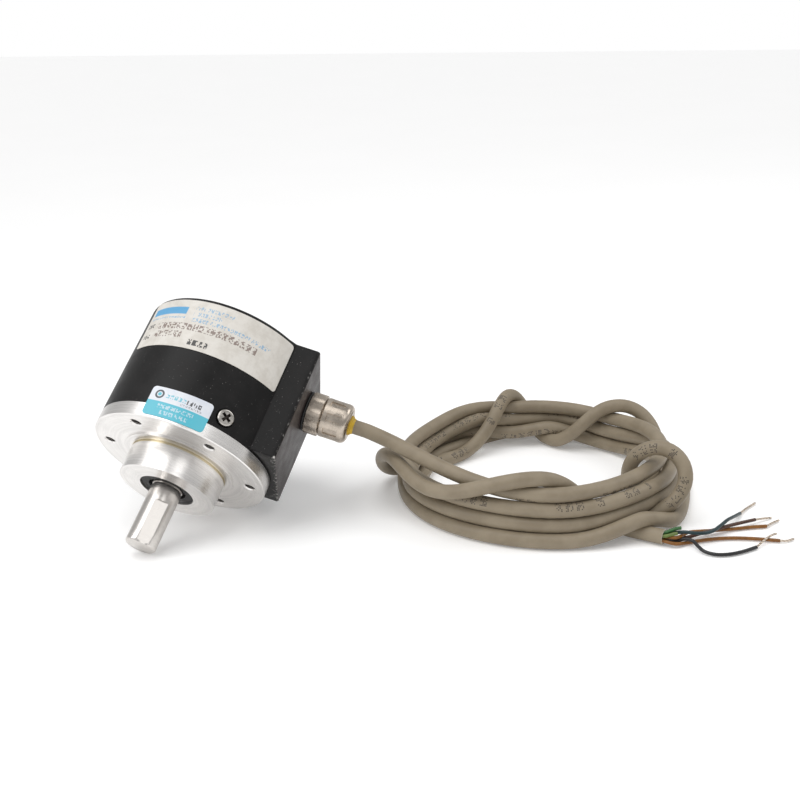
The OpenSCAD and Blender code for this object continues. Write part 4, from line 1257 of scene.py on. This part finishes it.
# %% [markdown]
# ## Floor and light
# A pale floor and soft light from above suit a small technical part. A broad sun overhead
# gives the top light. One lamp at the left front draws the bright bands on the flange, one
# at the right back lights the far side, and a small one picks out the shaft. The world's
# light keeps the dark cover readable, and camera rays see a plain white backdrop instead.

# %% Floor, lamps and sky
FLOOR_HALF, FLOOR_DROP = 3, 0.0002
across = (-FLOOR_HALF, FLOOR_HALF)
floor_grid = np.array([[[x, y, TABLE - FLOOR_DROP] for y in across] for x in across], float)
floor = piece_from_grid("floor", floor_grid, wrap_columns=False)
WHITE = (1, 1, 1, 1)
floor_finish = Finish("pale floor", (0.93,) * 3, 0.6)
floor_cloud = floor_finish.noise(floor_finish.world_mm(), 0.01, 2.0)
floor_finish.set("Base Color", floor_finish.blend(floor_cloud, (0.92,) * 3, (0.95,) * 3))
floor_finish.set("Emission Color", WHITE)
floor_finish.set("Emission Strength", 0.16)
floor.data.materials.append(floor_finish.material)


def lamp(name, at, aim, size, watts):
    """A square area lamp at one point, turned to face another."""
    data = bpy.data.lights.new(name, "AREA")
    data.size, data.energy = size, watts
    rig = bpy.data.objects.new(name, data)
    rig.location = at
    rig.rotation_euler = (Vector(aim) - Vector(at)).to_track_quat("-Z", "Y").to_euler()
    bpy.context.scene.collection.objects.link(rig)


MIDDLE = (0.04, 0.02, 0.0)
SUN_STRENGTH, SUN_SPREAD, SKY_STRENGTH = 1.25, 50, 0.5
lamp("left front light", (-0.35, -0.4, 0.3), MIDDLE, 0.3, 0.9)
lamp("right back light", (0.45, 0.35, 0.45), MIDDLE, 0.35, 0.8)
lamp("shaft light", (0.280, -0.120, 0.328), (0, -0.02, -0.015), 0.16, 0.11)
overhead = bpy.data.objects.new("overhead", bpy.data.lights.new("overhead", "SUN"))
overhead.data.energy = SUN_STRENGTH
overhead.data.angle = np.radians(SUN_SPREAD)
overhead.rotation_euler = (np.radians(12), np.radians(-14), 0)
bpy.context.scene.collection.objects.link(overhead)
sky = bpy.data.worlds.new("studio")
sky.use_nodes = True
sky_nodes, sky_links = sky.node_tree.nodes, sky.node_tree.links
lighting = sky_nodes["Background"]
lighting.inputs[0].default_value = WHITE
lighting.inputs[1].default_value = SKY_STRENGTH
backdrop = sky_nodes.new("ShaderNodeBackground")
backdrop.inputs[0].default_value = WHITE
seen = sky_nodes.new("ShaderNodeLightPath")
both = sky_nodes.new("ShaderNodeMixShader")
sky_links.new(seen.outputs["Is Camera Ray"], both.inputs[0])
sky_links.new(lighting.outputs[0], both.inputs[1])
sky_links.new(backdrop.outputs[0], both.inputs[2])
sky_links.new(both.outputs[0], sky_nodes["World Output"].inputs[0])
bpy.context.scene.world = sky
bpy.context.scene.view_settings.view_transform = "Standard"
print("lamps set")
